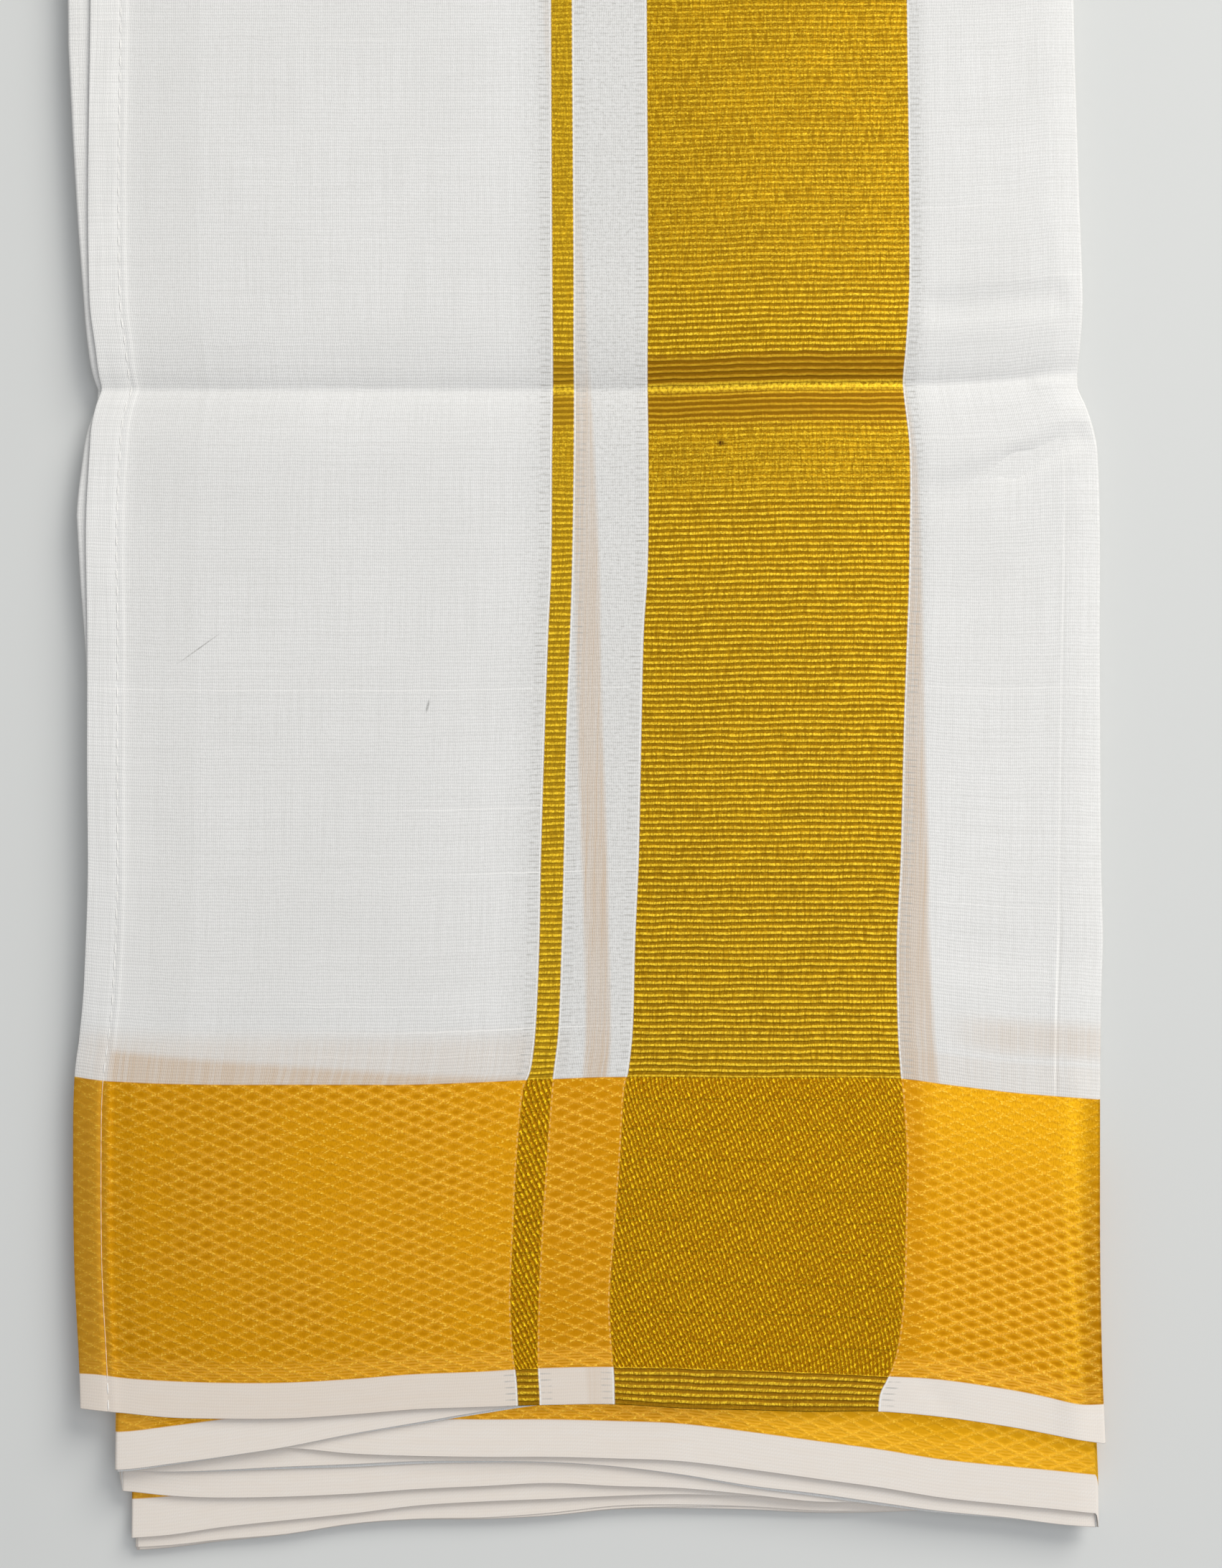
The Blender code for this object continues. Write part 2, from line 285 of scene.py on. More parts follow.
# The hidden half width under the front panel lies a little askew
SECOND_LEAF_HEM = 10.5
SECOND_LEAF_FRONT = (14.4, 22.0)
SECOND_LEAF_ZARI = (9.0, 9.0, 8.0, 3.0)


# A knot, a dark end of thread, a grey rub and a pulled thread
FLAWS = (
    # u, v, half_u, half_v, turn, strength, tone
    (196.9, 299.5, 1.8, 1.4, 0.0, 1.0, "#4A2804"),
    (181.2, 257.4, 2.2, 0.40, 0.0, 0.9, "#5E4A10"),
    (106.8, 218.7, 0.55, 2.6, -12.0, 0.8, "#8C8C88"),
    (35.0, 236.6, 9.5, 0.30, 35.8, 0.8, "#A09E9A"),
)

# How far the hidden leaf's stripe, band and border lean from the front leaf's, and their pivot
HIDDEN_STRIPE_LEAN = 0.0564
HIDDEN_BAND_LEAN = 0.048
HIDDEN_BORDER_LEAN = 0.0665
HIDDEN_PIVOT = 310.0

# The studio's two soft lights, in metres and watts
LIGHTS = (
    # name, spot, size, power, tone
    ("window_light", (1.5, 2.0, 1.7), 1.6, 75.0, "#FFFDF8"),
    ("overhead_light", (0.3, -0.15, 1.4), 1.3, 8.2, "#F8FAFF"),
)


def linear(hex_colour):
    """Turn an sRGB hex colour into linear red, green and blue."""
    channels = [int(hex_colour[i:i + 2], 16) / 255 for i in (1, 3, 5)]
    return tuple(c / 12.92 if c <= 0.04045 else ((c + 0.055) / 1.055) ** 2.4 for c in channels)


def length_property(name, description, default):
    """Return a length in metres, given in millimetres."""
    return bpy.props.FloatProperty(name=name, description=description, default=default * MM,
                                   min=0.0, precision=5, unit="LENGTH")


def colour_property(name, description, default):
    """Return a colour, given as sRGB hex."""
    return bpy.props.FloatVectorProperty(name=name, description=description,
                                         default=linear(default), size=3, min=0.0, max=1.0,
                                         subtype="COLOR")


class DhotiSizes(bpy.types.PropertyGroup):
    """Real sizes of the cloth and its weave."""

    cloth_length: length_property("Cloth length", "Length of the whole cloth", 3800.0)
    cloth_width: length_property("Cloth width", "Width from selvedge to selvedge", 1270.0)
    hem_width: length_property("Hem width", "Width of the turned end hem", 11.8)
    seam_inset: length_property("Seam inset", "From the hem's fold to its stitches", 9.4)
    stitch_pitch: length_property("Stitch pitch", "From one stitch to the next", 5.25)
    stitch_length: length_property("Stitch length", "Thread that shows of one stitch", 3.6)
    thread_diameter: length_property("Thread", "Diameter of the sewing thread", 0.42)
    selvedge_width: length_property("Selvedge", "White strip outside the border", 11.2)
    border_top: length_property("Border's inner edge", "From the selvedge", 103.0)
    stripe_start: length_property("Stripe's start", "From the hemmed end", 143.8)
    stripe_end: length_property("Stripe's end", "From the hemmed end", 150.5)
    band_start: length_property("Band's start", "From the hemmed end", 174.2)
    band_end: length_property("Band's end", "From the hemmed end", 255.6)
    warp_pitch: length_property("Warp", "Spacing of the warp that shows", 0.58)
    weft_pitch: length_property("Weft", "Spacing of the weft that shows", 0.98)
    rib_pitch: length_property("Ribs", "Spacing of the ribs across the zari band", 1.91)
    diamond_width: length_property("Diamond width", "Along the border", 8.8)
    diamond_height: length_property("Diamond height", "Across the border", 3.68)


class DhotiColours(bpy.types.PropertyGroup):
    """Colours of the cotton, the zari and the studio."""

    cotton: colour_property("Cotton", "Bleached cotton where it is closest", "#EEEDEB")
    # Thin cotton, also laid on as painted shade: darker towards the left and low down.
    cotton_veil: colour_property("Thin cotton", "Where one layer lets shade through", "#DDDCD9")
    cotton_shade: colour_property("Cotton between threads", "Gaps of the weave", "#B3B1AC")
    selvedge: colour_property("Selvedge", "Closer woven strip", "#E8DFD5")
    show_through: colour_property("Show-through", "Zari seen through a leaf", "#CDB69D")
    zari_glint: colour_property("Zari glint", "Thread that faces the light", "#FFD838")
    zari: colour_property("Zari", "Zari band", "#C29008")
    zari_shade: colour_property("Zari shade", "Between the ribs", "#7A5400")
    # Dull brown zari over the selvedge, and also the painted shade along both sides of the press
    # crease, where the ribs slope away from the light.
    zari_dull: colour_property("Creased zari", "Ribs bared along the crease", "#966410")
    border: colour_property("Border", "Zari border", "#DE9C08")
    border_line: colour_property("Border lattice", "Lines round the diamonds", "#EFB03C")
    border_shade: colour_property("Border lozenge", "Inside the diamonds", "#BE7E02")
    border_glint: colour_property("Border glint", "Floats that catch light", "#FFD04A")
    border_sheen: colour_property("Border sheen", "Where the fold turns to the light", "#FFC41E")
    border_bead: colour_property("Border bead", "Pale floats beside the stripe", "#E4B266")
    twill: colour_property("Zari twill", "Where band and border cross", "#AE7200")
    twill_glint: colour_property("Twill glint", "Strokes of foil", "#FFD620")
    # The sewing thread's white is also laid on the cotton as painted highlight: along the hem's
    # inner edge, up the hem, towards the right fold and on the pressed line.
    thread: colour_property("Sewing thread", "White sewing thread", "#F8F6F2")
    floor: colour_property("Floor", "Plain studio floor", "#D8D9D7")


class DhotiStudio(bpy.types.PropertyGroup):
    """The camera and the lights."""

    camera_distance: bpy.props.FloatProperty(
        name="Camera distance", description="From the cloth along the view",
        default=EYE_HEIGHT * MM, unit="LENGTH")
    camera_tilt: bpy.props.FloatProperty(
        name="Camera tilt", description="From straight down", default=radians(2.8),
        unit="ROTATION", subtype="ANGLE")
    camera_lens: bpy.props.FloatProperty(
        name="Lens", description="Focal length on a 36 mm high frame", default=50.0)
    aim_x: length_property("Aim across", "Middle of the view, from the hem", EYE_X)
    aim_y: length_property("Aim along", "Middle of the view, from the selvedge", EYE_Y)


def sizes_in_mm(context):
    """Return every size in millimetres, by its name."""
    sizes = context.scene.dhoti_sizes
    return {name: getattr(sizes, name) / MM for name in sizes.__annotations__}


def zari_edges(mm):
    """Return how far the edges of the stripe and the band lie from the hemmed end."""
    return [mm[edge] for edge in ("stripe_start", "stripe_end", "band_start", "band_end")]


def read_table(table, column, at):
    """Return one column's value, on a smooth curve through a table's rows."""
    last = len(table) - 1
    if at <= table[0][0]:
        return table[0][column]
    if at >= table[last][0]:
        return table[last][column]
    low = next(i for i in range(last) if at <= table[i + 1][0])

    def slope(i):
        before, after = table[max(i - 1, 0)], table[min(i + 1, last)]
        return (after[column] - before[column]) / (after[0] - before[0])

    span = table[low + 1][0] - table[low][0]
    t = (at - table[low][0]) / span
    start = (2 * t ** 3 - 3 * t ** 2 + 1) * table[low][column]
    start += (t ** 3 - 2 * t ** 2 + t) * span * slope(low)
    end = (3 * t ** 2 - 2 * t ** 3) * table[low + 1][column]
    end += (t ** 3 - t ** 2) * span * slope(low + 1)
    return start + end


def side(name, y):
    """Return x of a side edge at y."""
    return read_table(SIDES, SIDE[name], y)


def selvedge(name, x):
    """Return y of a layer's front edge at x, from where it looks to be and how deep it lies."""
    depth = (SELVEDGE[name] - SELVEDGE["front"]) * (WALL + GAP)
    return EYE_Y + (read_table(SELVEDGES, SELVEDGE[name], x) - EYE_Y) * (1 + depth / EYE_HEIGHT)


def between_knots(knots, at):
    """Return the value at a place between (place, value) knots, along straight lines."""
    for (low, low_value), (high, high_value) in zip(knots, knots[1:]):
        if at <= high or (high, high_value) == knots[-1]:
            return low_value + (at - low) / (high - low) * (high_value - low_value)


def smooth_step(low, high, at):
    """Return 0 below low, 1 above high and a smooth rise between them."""
    t = min(max((at - low) / (high - low), 0.0), 1.0)
    return t * t * (3 - 2 * t)


def spread(low, high, step):
    """Return even stations from low to high, about a step apart, both ends included."""
    count = max(round((high - low) / step), 1)
    return [low + (high - low) * i / count for i in range(count + 1)]


def place(x, y, z):
    """Turn a place in the tables' millimetres into the frame's metres."""
    left = CAD_BOX[0].x - min(row[2] for row in SIDES) * MM
    front = CAD_BOX[1].y - bpy.context.scene.dhoti_sizes.cloth_width / 2
    return Vector((left + x * MM, front + y * MM, z * MM))


def panel_middle(node):
    """Return the height in millimetres of the middle of a panel's wall."""
    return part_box(node)[1].z / MM - WALL / 2


def crease_drop(x, y):
    """Return how far the press crease lowers the layers."""
    away = abs(y - read_table(CREASE_LINE, 1, x))
    drop = CREASE_DEPTH * (1.0 - min(away / CREASE_REACH, 1.0)) ** 2
    return drop + PINCH_DEPTH * (1.0 - min(away / PINCH_REACH, 1.0)) ** 2


def roll_drop(x, y):
    """Return how far the layers round down towards their side folds."""
    right = max(x - side("fold_right", y) + ROLL_REACH, 0.0) / ROLL_REACH
    left = max(side("fold_left", y) + ROLL_REACH - x, 0.0) / ROLL_REACH
    return ROLL_DEPTH * (min(right, 1.2) ** 2 + LEFT_ROLL_SHARE * min(left, 1.0) ** 2)


def front_relief(x, y):
    """Return the front panel's own sag, waves and pressed lines."""
    overhang = max(side("fold_left", y) - x, 0.0)
    height = -SAG_PER_MM2 * overhang ** 2
    for wave in FRONT_WAVES:
        height += soft_wave(x, y, *wave)
    for from_x, from_y, to_x, to_y, depth, half_width in PRESSED_LINES:
        along = Vector((to_x - from_x, to_y - from_y))
        away = Vector((x - from_x, y - from_y))
        share = min(max(away.dot(along) / along.length_squared, 0.0), 1.0)
        distance = (away - share * along).length / half_width
        if distance < 1.0:
            height -= depth * (1.0 - distance ** 2) ** 2
    return height


def soft_wave(x, y, height, length_x, length_y, seed):
    """Return the height of one soft uneven wave."""
    return height * noise.noise(Vector((x / length_x, y / length_y, seed)))


def woven_grid(name, columns, rows, point, coordinates):
    """Build a sheet through its columns and rows, with the UV map that its weave follows."""
    bm = bmesh.new()
    across = len(columns) - 1
    along = len(rows) - 1
    made = bmesh.ops.create_grid(bm, x_segments=across, y_segments=along, size=0.5)
    weave = bm.loops.layers.uv.new("weave")
    spots = {}
    for vert in made["verts"]:
        column = columns[round((vert.co.x + 0.5) * across)]
        row = rows[round((vert.co.y + 0.5) * along)]
        spots[vert] = [part * MM for part in coordinates(column, row)]
        vert.co = place(*point(column, row))
    for face in bm.faces:
        face.smooth = True
        for loop in face.loops:
            loop[weave].uv = spots[loop.vert]
    return bm


def finish_piece(bm, name, material):
    """Turn a bmesh into a piece that rides with the cloth."""
    mesh = bpy.data.meshes.new(name)
    bm.to_mesh(mesh)
    bm.free()
    mesh.materials.append(material)
    piece = bpy.data.objects.new(name, mesh)
    bpy.context.scene.collection.objects.link(piece)
    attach(piece, "root")
    return piece


def thicken_leaf(piece):
    """Give a leaf its cloth thickness, half on each side."""
    wall = piece.modifiers.new("Leaf", "SOLIDIFY")
    wall.thickness = LEAF * MM
    wall.offset = 0.0


def width_stations(half_width, selvedge_width, border_top):
    """Return the rows of a leaf from its selvedge to the back fold."""
    crease = half_width / 2
    rows = [0.0, 0.25] + spread(1.2, selvedge_width, 2.0) + spread(selvedge_width, 28.0, 2.4)
    rows += spread(28.0, border_top - 3, 4.5) + spread(border_top - 3, border_top + 6, 1.5)
    rows += spread(border_top + 6, crease - 32, 5.0) + spread(crease - 32, crease - 5, 2.0)
    rows += spread(crease - 5, crease + 8, 0.9) + spread(crease + 8, crease + 34, 2.0)
    rows += spread(crease + 34, half_width, 7.0)
    return sorted(set(round(row, 3) for row in rows))


def sheet_rows(upper, lower):
    """Return rows of (v, turn) up the upper leaf, round the back fold and down the lower one.

    turn is 0 on the upper leaf, 1 on the lower one, and between them on the fold.
    """
    back = max(upper)
    rows = [(v, 0.0) for v in upper]
    rows += [(back, turn) for turn in (0.25, 0.5, 0.75)]
    rows += [(v, 1.0) for v in reversed(lower)]
    return rows


def front_columns(mm):
    """Return the front panel's columns as (stretch, place) from the hem's inner edge."""
    hem = mm["hem_width"]
    seam = mm["seam_inset"]
    end = side("fold_right", 0.0) - FOLD_RADIUS
    columns = [("under", u) for u in (hem, hem - 0.3, 9.0, 6.0, 3.0, 0.8)]
    columns += [("turn", angle) for angle in (-60.0, -30.0, 0.0, 30.0, 60.0)]
    hem_stations = (0.5, 1.2, 2.6, 5.0, 7.4, seam - 0.9, seam - 0.4, seam, seam + 0.4, seam + 0.9)
    flat = list(hem_stations) + [hem - 0.5, hem, hem + 0.5, hem + 1.0, hem + 2.2]
    stops = [hem + 2.2] + zari_edges(mm) + [end - 18.0]
    for low, high in zip(stops, stops[1:]):
        flat += spread(low, high, 2.8)
    flat += spread(end - 18.0, end, 0.95)
    columns += [("flat", u) for u in sorted(set(round(u, 3) for u in flat))]
    return columns + [("bend", angle) for angle in BEND_ANGLES]


def front_x(mm, u, y, lower):
    """Return x of a thread of the front panel; lower is 0 on the upper leaf and 1 on the other."""
    knots = [(0.0, side("hem", y) + SECOND_LEAF_HEM * lower)]
    for column, (edge, shift) in enumerate(zip(zari_edges(mm), SECOND_LEAF_ZARI), start=1):
        knots.append((edge, read_table(WEFT_ZARI, column, y) + shift * lower))
    end = side("fold_right", 0.0) - FOLD_RADIUS
    knots.append((end, side("fold_right", y) - FOLD_RADIUS))
    return between_knots(knots, u)


def front_y(mm, x, v, lower):
    """Return y of a thread of the front panel."""
    back = mm["cloth_width"] / 2
    upper_knots = (
        (0.0, selvedge("front", x)),
        (mm["selvedge_width"], read_table(BORDER_EDGES, 1, x)),
        (mm["border_top"], read_table(BORDER_EDGES, 2, x)),
        (back / 2, read_table(CREASE_LINE, 1, x)),
        (back, back),
    )
    near, far = SECOND_LEAF_FRONT
    start = near + (far - near) * x / side("fold_right", 0.0)
    second = start + (back - start) * v / back
    return (1 - lower) * between_knots(upper_knots, v) + lower * second


def hem_lift(stretch, u, angle, hem, turn):
    """Return the height of a leaf over the panel's middle, with the turned hem's folds."""
    half = LEAF_LIFT * cos(pi * turn)
    if stretch == "flat":
        raised = 1.0 - smooth_step(hem - 0.5, hem + 2.1, u)
        return half + raised * HEM_PROUD
    level = sin(radians(angle)) if stretch == "turn" else -1.0
    return half + HEM_PROUD * (HEM_FOLD_MIDDLE + HEM_FOLD_SWING * level)


def seam_groove(u, seam):
    """Return how far the stitches pull the hem down."""
    return SEAM_DEPTH * max(1.0 - (abs(u - seam) / 0.9) ** 2, 0.0)


def build_front(context):
    """Build the front panel with its turned hem and its right fold."""
    mm = sizes_in_mm(context)
    hem = mm["hem_width"]
    seam = mm["seam_inset"]
    back = mm["cloth_width"] / 2
    end = side("fold_right", 0.0) - FOLD_RADIUS
    middle = panel_middle("front_panel")
    upper = width_stations(back, mm["selvedge_width"], mm["border_top"])
    lower = [0.0] + spread(20.0, back / 2 - 24, 24.0) + spread(back / 2 - 24, back / 2 + 24, 4.0)
    lower = sorted(set(lower + spread(back / 2 + 24, back, 30.0)))

    def point(column, row):
        stretch, at = column
        v, turn = row
        below = (1 - cos(pi * turn)) / 2
        turned = HEM_TURN * (1 - cos(radians(at)))
        u = {"flat": at, "under": at, "turn": turned, "bend": end}[stretch]
        rough_x = front_x(mm, u, v, below)
        y = front_y(mm, rough_x, v, below)
        x = front_x(mm, u, y, below)
        y += LEAF_LIFT * sin(pi * turn)
        drop = crease_drop(x, y) + roll_drop(x, y) - front_relief(x, y)
        if stretch == "bend":
            radius = BEND + LEAF_LIFT * cos(pi * turn)
            x += radius * sin(radians(at))
            return x, y, middle - BEND + radius * cos(radians(at)) - drop
        lift = hem_lift(stretch, u, at, hem, turn)
        if stretch == "flat":
            lift -= seam_groove(u, seam) * (1 - below)
        return x, y, middle + lift - drop

    def coordinates(column, row):
        stretch, at = column
        v, turn = row
        u = {"flat": at, "under": -at, "turn": 0.0, "bend": end + BEND * radians(at)}[stretch]
        return u, v if turn < 0.5 else 2 * back - v

    rows = sheet_rows(upper, lower)
    bm = woven_grid("front_panel_cloth", front_columns(mm), rows, point, coordinates)
    return finish_piece(bm, "front_panel_cloth", woven_cotton(context, "with weft zari", True))


def build_stitches(context):
    """Build the hem's machine stitches as short stretches of thread."""
    mm = sizes_in_mm(context)
    seam = mm["seam_inset"]
    pitch = mm["stitch_pitch"]
    radius = mm["thread_diameter"] / 2
    top = panel_middle("front_panel") + LEAF_LIFT + HEM_PROUD - SEAM_DEPTH + LEAF / 2
    bm = bmesh.new()
    end_gap = 2.0
    for i in range(int((mm["cloth_width"] / 2 - 2 * end_gap) / pitch)):
        v = end_gap + pitch * i
        x = front_x(mm, seam, v, 0.0)
        y = front_y(mm, x, v, 0.0)
        ahead = front_y(mm, x, v + 1.0, 0.0)
        x = front_x(mm, seam, y, 0.0)
        lean = front_x(mm, seam, ahead, 0.0) - x
        made = bmesh.ops.create_uvsphere(bm, u_segments=8, v_segments=6, radius=1.0)["verts"]
        in_border = mm["selvedge_width"] < v < mm["border_top"]
        half = pitch * BORDER_STITCH_SHARE if in_border else mm["stitch_length"] / 2
        thick = radius * BORDER_THREAD_SHARE if in_border else radius
        for vert in made:
            along = vert.co.z * half
            dip = STITCH_DIP * (along / half) ** 2
            spot_x = x + vert.co.x * thick + along * lean
            drop = crease_drop(x, y + along) + roll_drop(x, y) - front_relief(x, y + along)
            rise = radius * (STITCH_RISE + vert.co.y - dip)
            vert.co = place(spot_x, y + along, top + rise - drop)
    for face in bm.faces:
        face.smooth = True
    return finish_piece(bm, "hem_stitches", sewing_thread(context))


def panel_rows(back):
    """Return the rows of a lower panel, close together where the fan shows it."""
    crease = (back + 1.5) / 2
    rows = [0.0, 0.25] + spread(1.2, 11.2, 2.0) + spread(11.2, 50.0, 4.0)
    rows += spread(50.0, crease - 30, 22.0) + spread(crease - 30, crease + 30, 3.0)
    rows += spread(crease + 30, back, 30.0)
    return sorted(set(round(row, 3) for row in rows))


def build_lower_panel(context, number, panel):
    """Build one panel under the front one, with the fold at its end."""
    node, left_inset, right_inset, fold, fold_above, back_inset, lead = panel
    back = sizes_in_mm(context)["cloth_width"] / 2 - back_inset
    middle = panel_middle(node)
    left_inset += FOLD_RADIUS + JOIN if fold_above == "left" else 0.0
    left_inset += FOLD_RADIUS if fold == "left" else 0.0
    right_inset += FOLD_RADIUS + JOIN if fold_above == "right" else 0.0
    right_inset += FOLD_RADIUS if fold == "right" else 0.0
    flat = [0.0, 0.002] + spread(0.012, 0.988, 0.0135) + [0.998, 1.0]
    columns = [("flat", share) for share in flat]
    if fold == "right":
        columns += [("bend", angle) for angle in BEND_ANGLES]
    if fold == "left":
        columns = [("bend", angle) for angle in reversed(BEND_ANGLES)] + columns
    width = side("fold_right", 0.0) - side("fold_left", 0.0)

    def point(column, row):
        stretch, at = column
        v, turn = row
        below = (1 - cos(pi * turn)) / 2
        share = at if stretch == "flat" else float(fold == "right")

        def x_at(y):
            left = side("fold_left", y) + left_inset
            return left + share * (side("fold_right", y) - right_inset - left)

        x = x_at(0.0)
        front = selvedge(node, x) - below * lead * (1 + 0.6 * sin(x / 23 + number))
        if stretch == "bend":
            slid = sin(radians(min(at, 90.0) if fold == "right" else max(at, 90.0) - 90.0)) ** 2
            front += (selvedge(f"ply_{number + 1}", x) - front) * slid
        y = front + (back - front) * v / back
        x = x_at(y)
        y += LEAF_LIFT * sin(pi * turn)
        drop = crease_drop(x, y) + roll_drop(x, y) - soft_wave(x, y, *LOWER_WAVE, number)
        lift = LEAF_LIFT * cos(pi * turn)
        if stretch == "bend":
            radius = BEND + lift
            reach = radius * sin(radians(at))
            x += reach if fold == "right" else -reach
            return x, y, middle - BEND + radius * cos(radians(at)) - drop
        return x, y, middle + lift - drop

    def coordinates(column, row):
        stretch, at = column
        v, turn = row
        share = at if stretch == "flat" else float(fold == "right")
        return share * width, v if turn < 0.5 else 2 * back - v

    upper = panel_rows(back)
    rows = sheet_rows(upper, upper)
    name = f"panel_{number}_cloth"
    bm = woven_grid(name, columns, rows, point, coordinates)
    return finish_piece(bm, name, woven_cotton(context, "with border", False))


def build_core(context):
    """Build the hidden layers as twelve leaves that taper to the flat underside."""
    back = sizes_in_mm(context)["cloth_width"] / 2 - CORE_BACK_INSET
    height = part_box("folded_core")[1].z / MM
    pitch = height / CORE_LEAVES
    joined = bmesh.new()
    whole = bpy.data.meshes.new("leaf")
    flat = [0.0, 0.002] + spread(0.015, 0.985, 0.02) + [0.998, 1.0]
    rows = [(v, 0.0) for v in panel_rows(back)]
    for leaf in range(CORE_LEAVES):
        inset = 0.5 + 0.5 * sin(2.3 * leaf)

        def point(column, row, level):
            share = column[1]
            v = row[0]
            left = side("fold_left", 0.0) + CORE_LEFT_INSET + inset
            x = left + share * (side("fold_right", 0.0) - CORE_RIGHT_INSET - inset - left)
            ragged = CORE_RAGGED * (1 + sin(x / 31 + 1.9 * leaf)) + CORE_LEAN * leaf
            front = selvedge("core", x) + ragged
            y = front + (back - inset - front) * v / back
            left = side("fold_left", y) + CORE_LEFT_INSET + inset
            x = left + share * (side("fold_right", y) - CORE_RIGHT_INSET - inset - left)
            drop = crease_drop(x, y) + roll_drop(x, y)
            return x, y, level * (1 - drop / height)

        def coordinates(column, row):
            return column[1] * side("fold_right", 0.0), row[0]

        columns = [("flat", share) for share in flat]
        low = pitch * leaf + 0.02
        high = pitch * (leaf + 1) - 0.03
        bm = woven_grid("leaf", columns, rows, lambda c, r: point(c, r, high), coordinates)
        made = bmesh.ops.extrude_face_region(bm, geom=bm.faces[:], use_keep_orig=True)["geom"]
        lowered = [item for item in made if isinstance(item, bmesh.types.BMVert)]
        for vert in lowered:
            vert.co.z *= low / high
        bmesh.ops.recalc_face_normals(bm, faces=bm.faces)
        bm.to_mesh(whole)
        bm.free()
        joined.from_mesh(whole)
    bpy.data.meshes.remove(whole)
    return finish_piece(joined, "folded_core_cloth", woven_cotton(context, "with border", False))


def add(tree, kind, inputs, output=0, **settings):
    """Add one node with its settings and links, and return one of its outputs."""
    node = tree.nodes.new("ShaderNode" + kind)
    for name, value in settings.items():
        setattr(node, name, value)
    for slot, value in inputs.items():
        if isinstance(value, bpy.types.NodeSocket):
            tree.links.new(value, node.inputs[slot])
        else:
            node.inputs[slot].default_value = value
    return node.outputs[output]


def new_material(name):
    """Return an empty material and its shader node."""
    material = bpy.data.materials.new(name)
    material.use_nodes = True
    return material, material.node_tree, material.node_tree.nodes["Principled BSDF"]


def zone(coordinate, low, high, soft, inside=1.0, outside=0.0):
    """Return one value where a coordinate lies from low to high, and another outside.

    The distance from the middle is measured between vectors of three equal parts, which takes
    one node, and makes it longer by the root of three.
    """
    tree = coordinate.id_data
    middle = (low + high) / 2
    off = add(tree, "VectorMath", {0: coordinate, 1: (middle, middle, middle)}, 1,
              operation="DISTANCE")
    near = sqrt(3) * ((high - low) / 2 - soft)
    far = sqrt(3) * ((high - low) / 2 + soft)
    return add(tree, "MapRange", {0: off, 1: near, 2: far, 3: inside, 4: outside},
               interpolation_type="SMOOTHSTEP")


def threads(spot, per_u, per_v, core, edge, on=1.0, between=0.0):
    """Return one value on parallel threads and another between them.

    per_u and per_v are how many threads there are in a millimetre along u and along v. core and
    edge are how far the thread's middle and its edge lie from its centre, in spacings.
    """
    tree = spot.id_data
    count = add(tree, "VectorMath", {0: spot, 1: (per_u, per_v, 0.0)}, 1, operation="DOT_PRODUCT")
    nearest = add(tree, "Math", {0: count, 1: 0.5}, operation="PINGPONG")
    return add(tree, "MapRange", {0: nearest, 1: core, 2: edge, 3: on, 4: between},
               interpolation_type="SMOOTHSTEP")


def slubs(spot, per_u, per_v, low, high, on=1.0, off=0.0):
    """Return irregular patches, with so many in a millimetre along u and along v."""
    tree = spot.id_data
    scaled = add(tree, "VectorMath", {0: spot, 1: (per_u, per_v, 1.0)}, operation="MULTIPLY")
    value = add(tree, "TexNoise", {"Vector": scaled, "Scale": 1.0, "Detail": 2.0})
    return add(tree, "MapRange", {0: value, 1: low, 2: high, 3: off, 4: on})


def lay_colours(tree, base, layers):
    """Lay colours over a base, each as (mask, colour)."""
    colour = base
    for mask, over in layers:
        colour = add(tree, "Mix", {0: mask, 6: colour, 7: over}, 2, data_type="RGBA")
    return colour


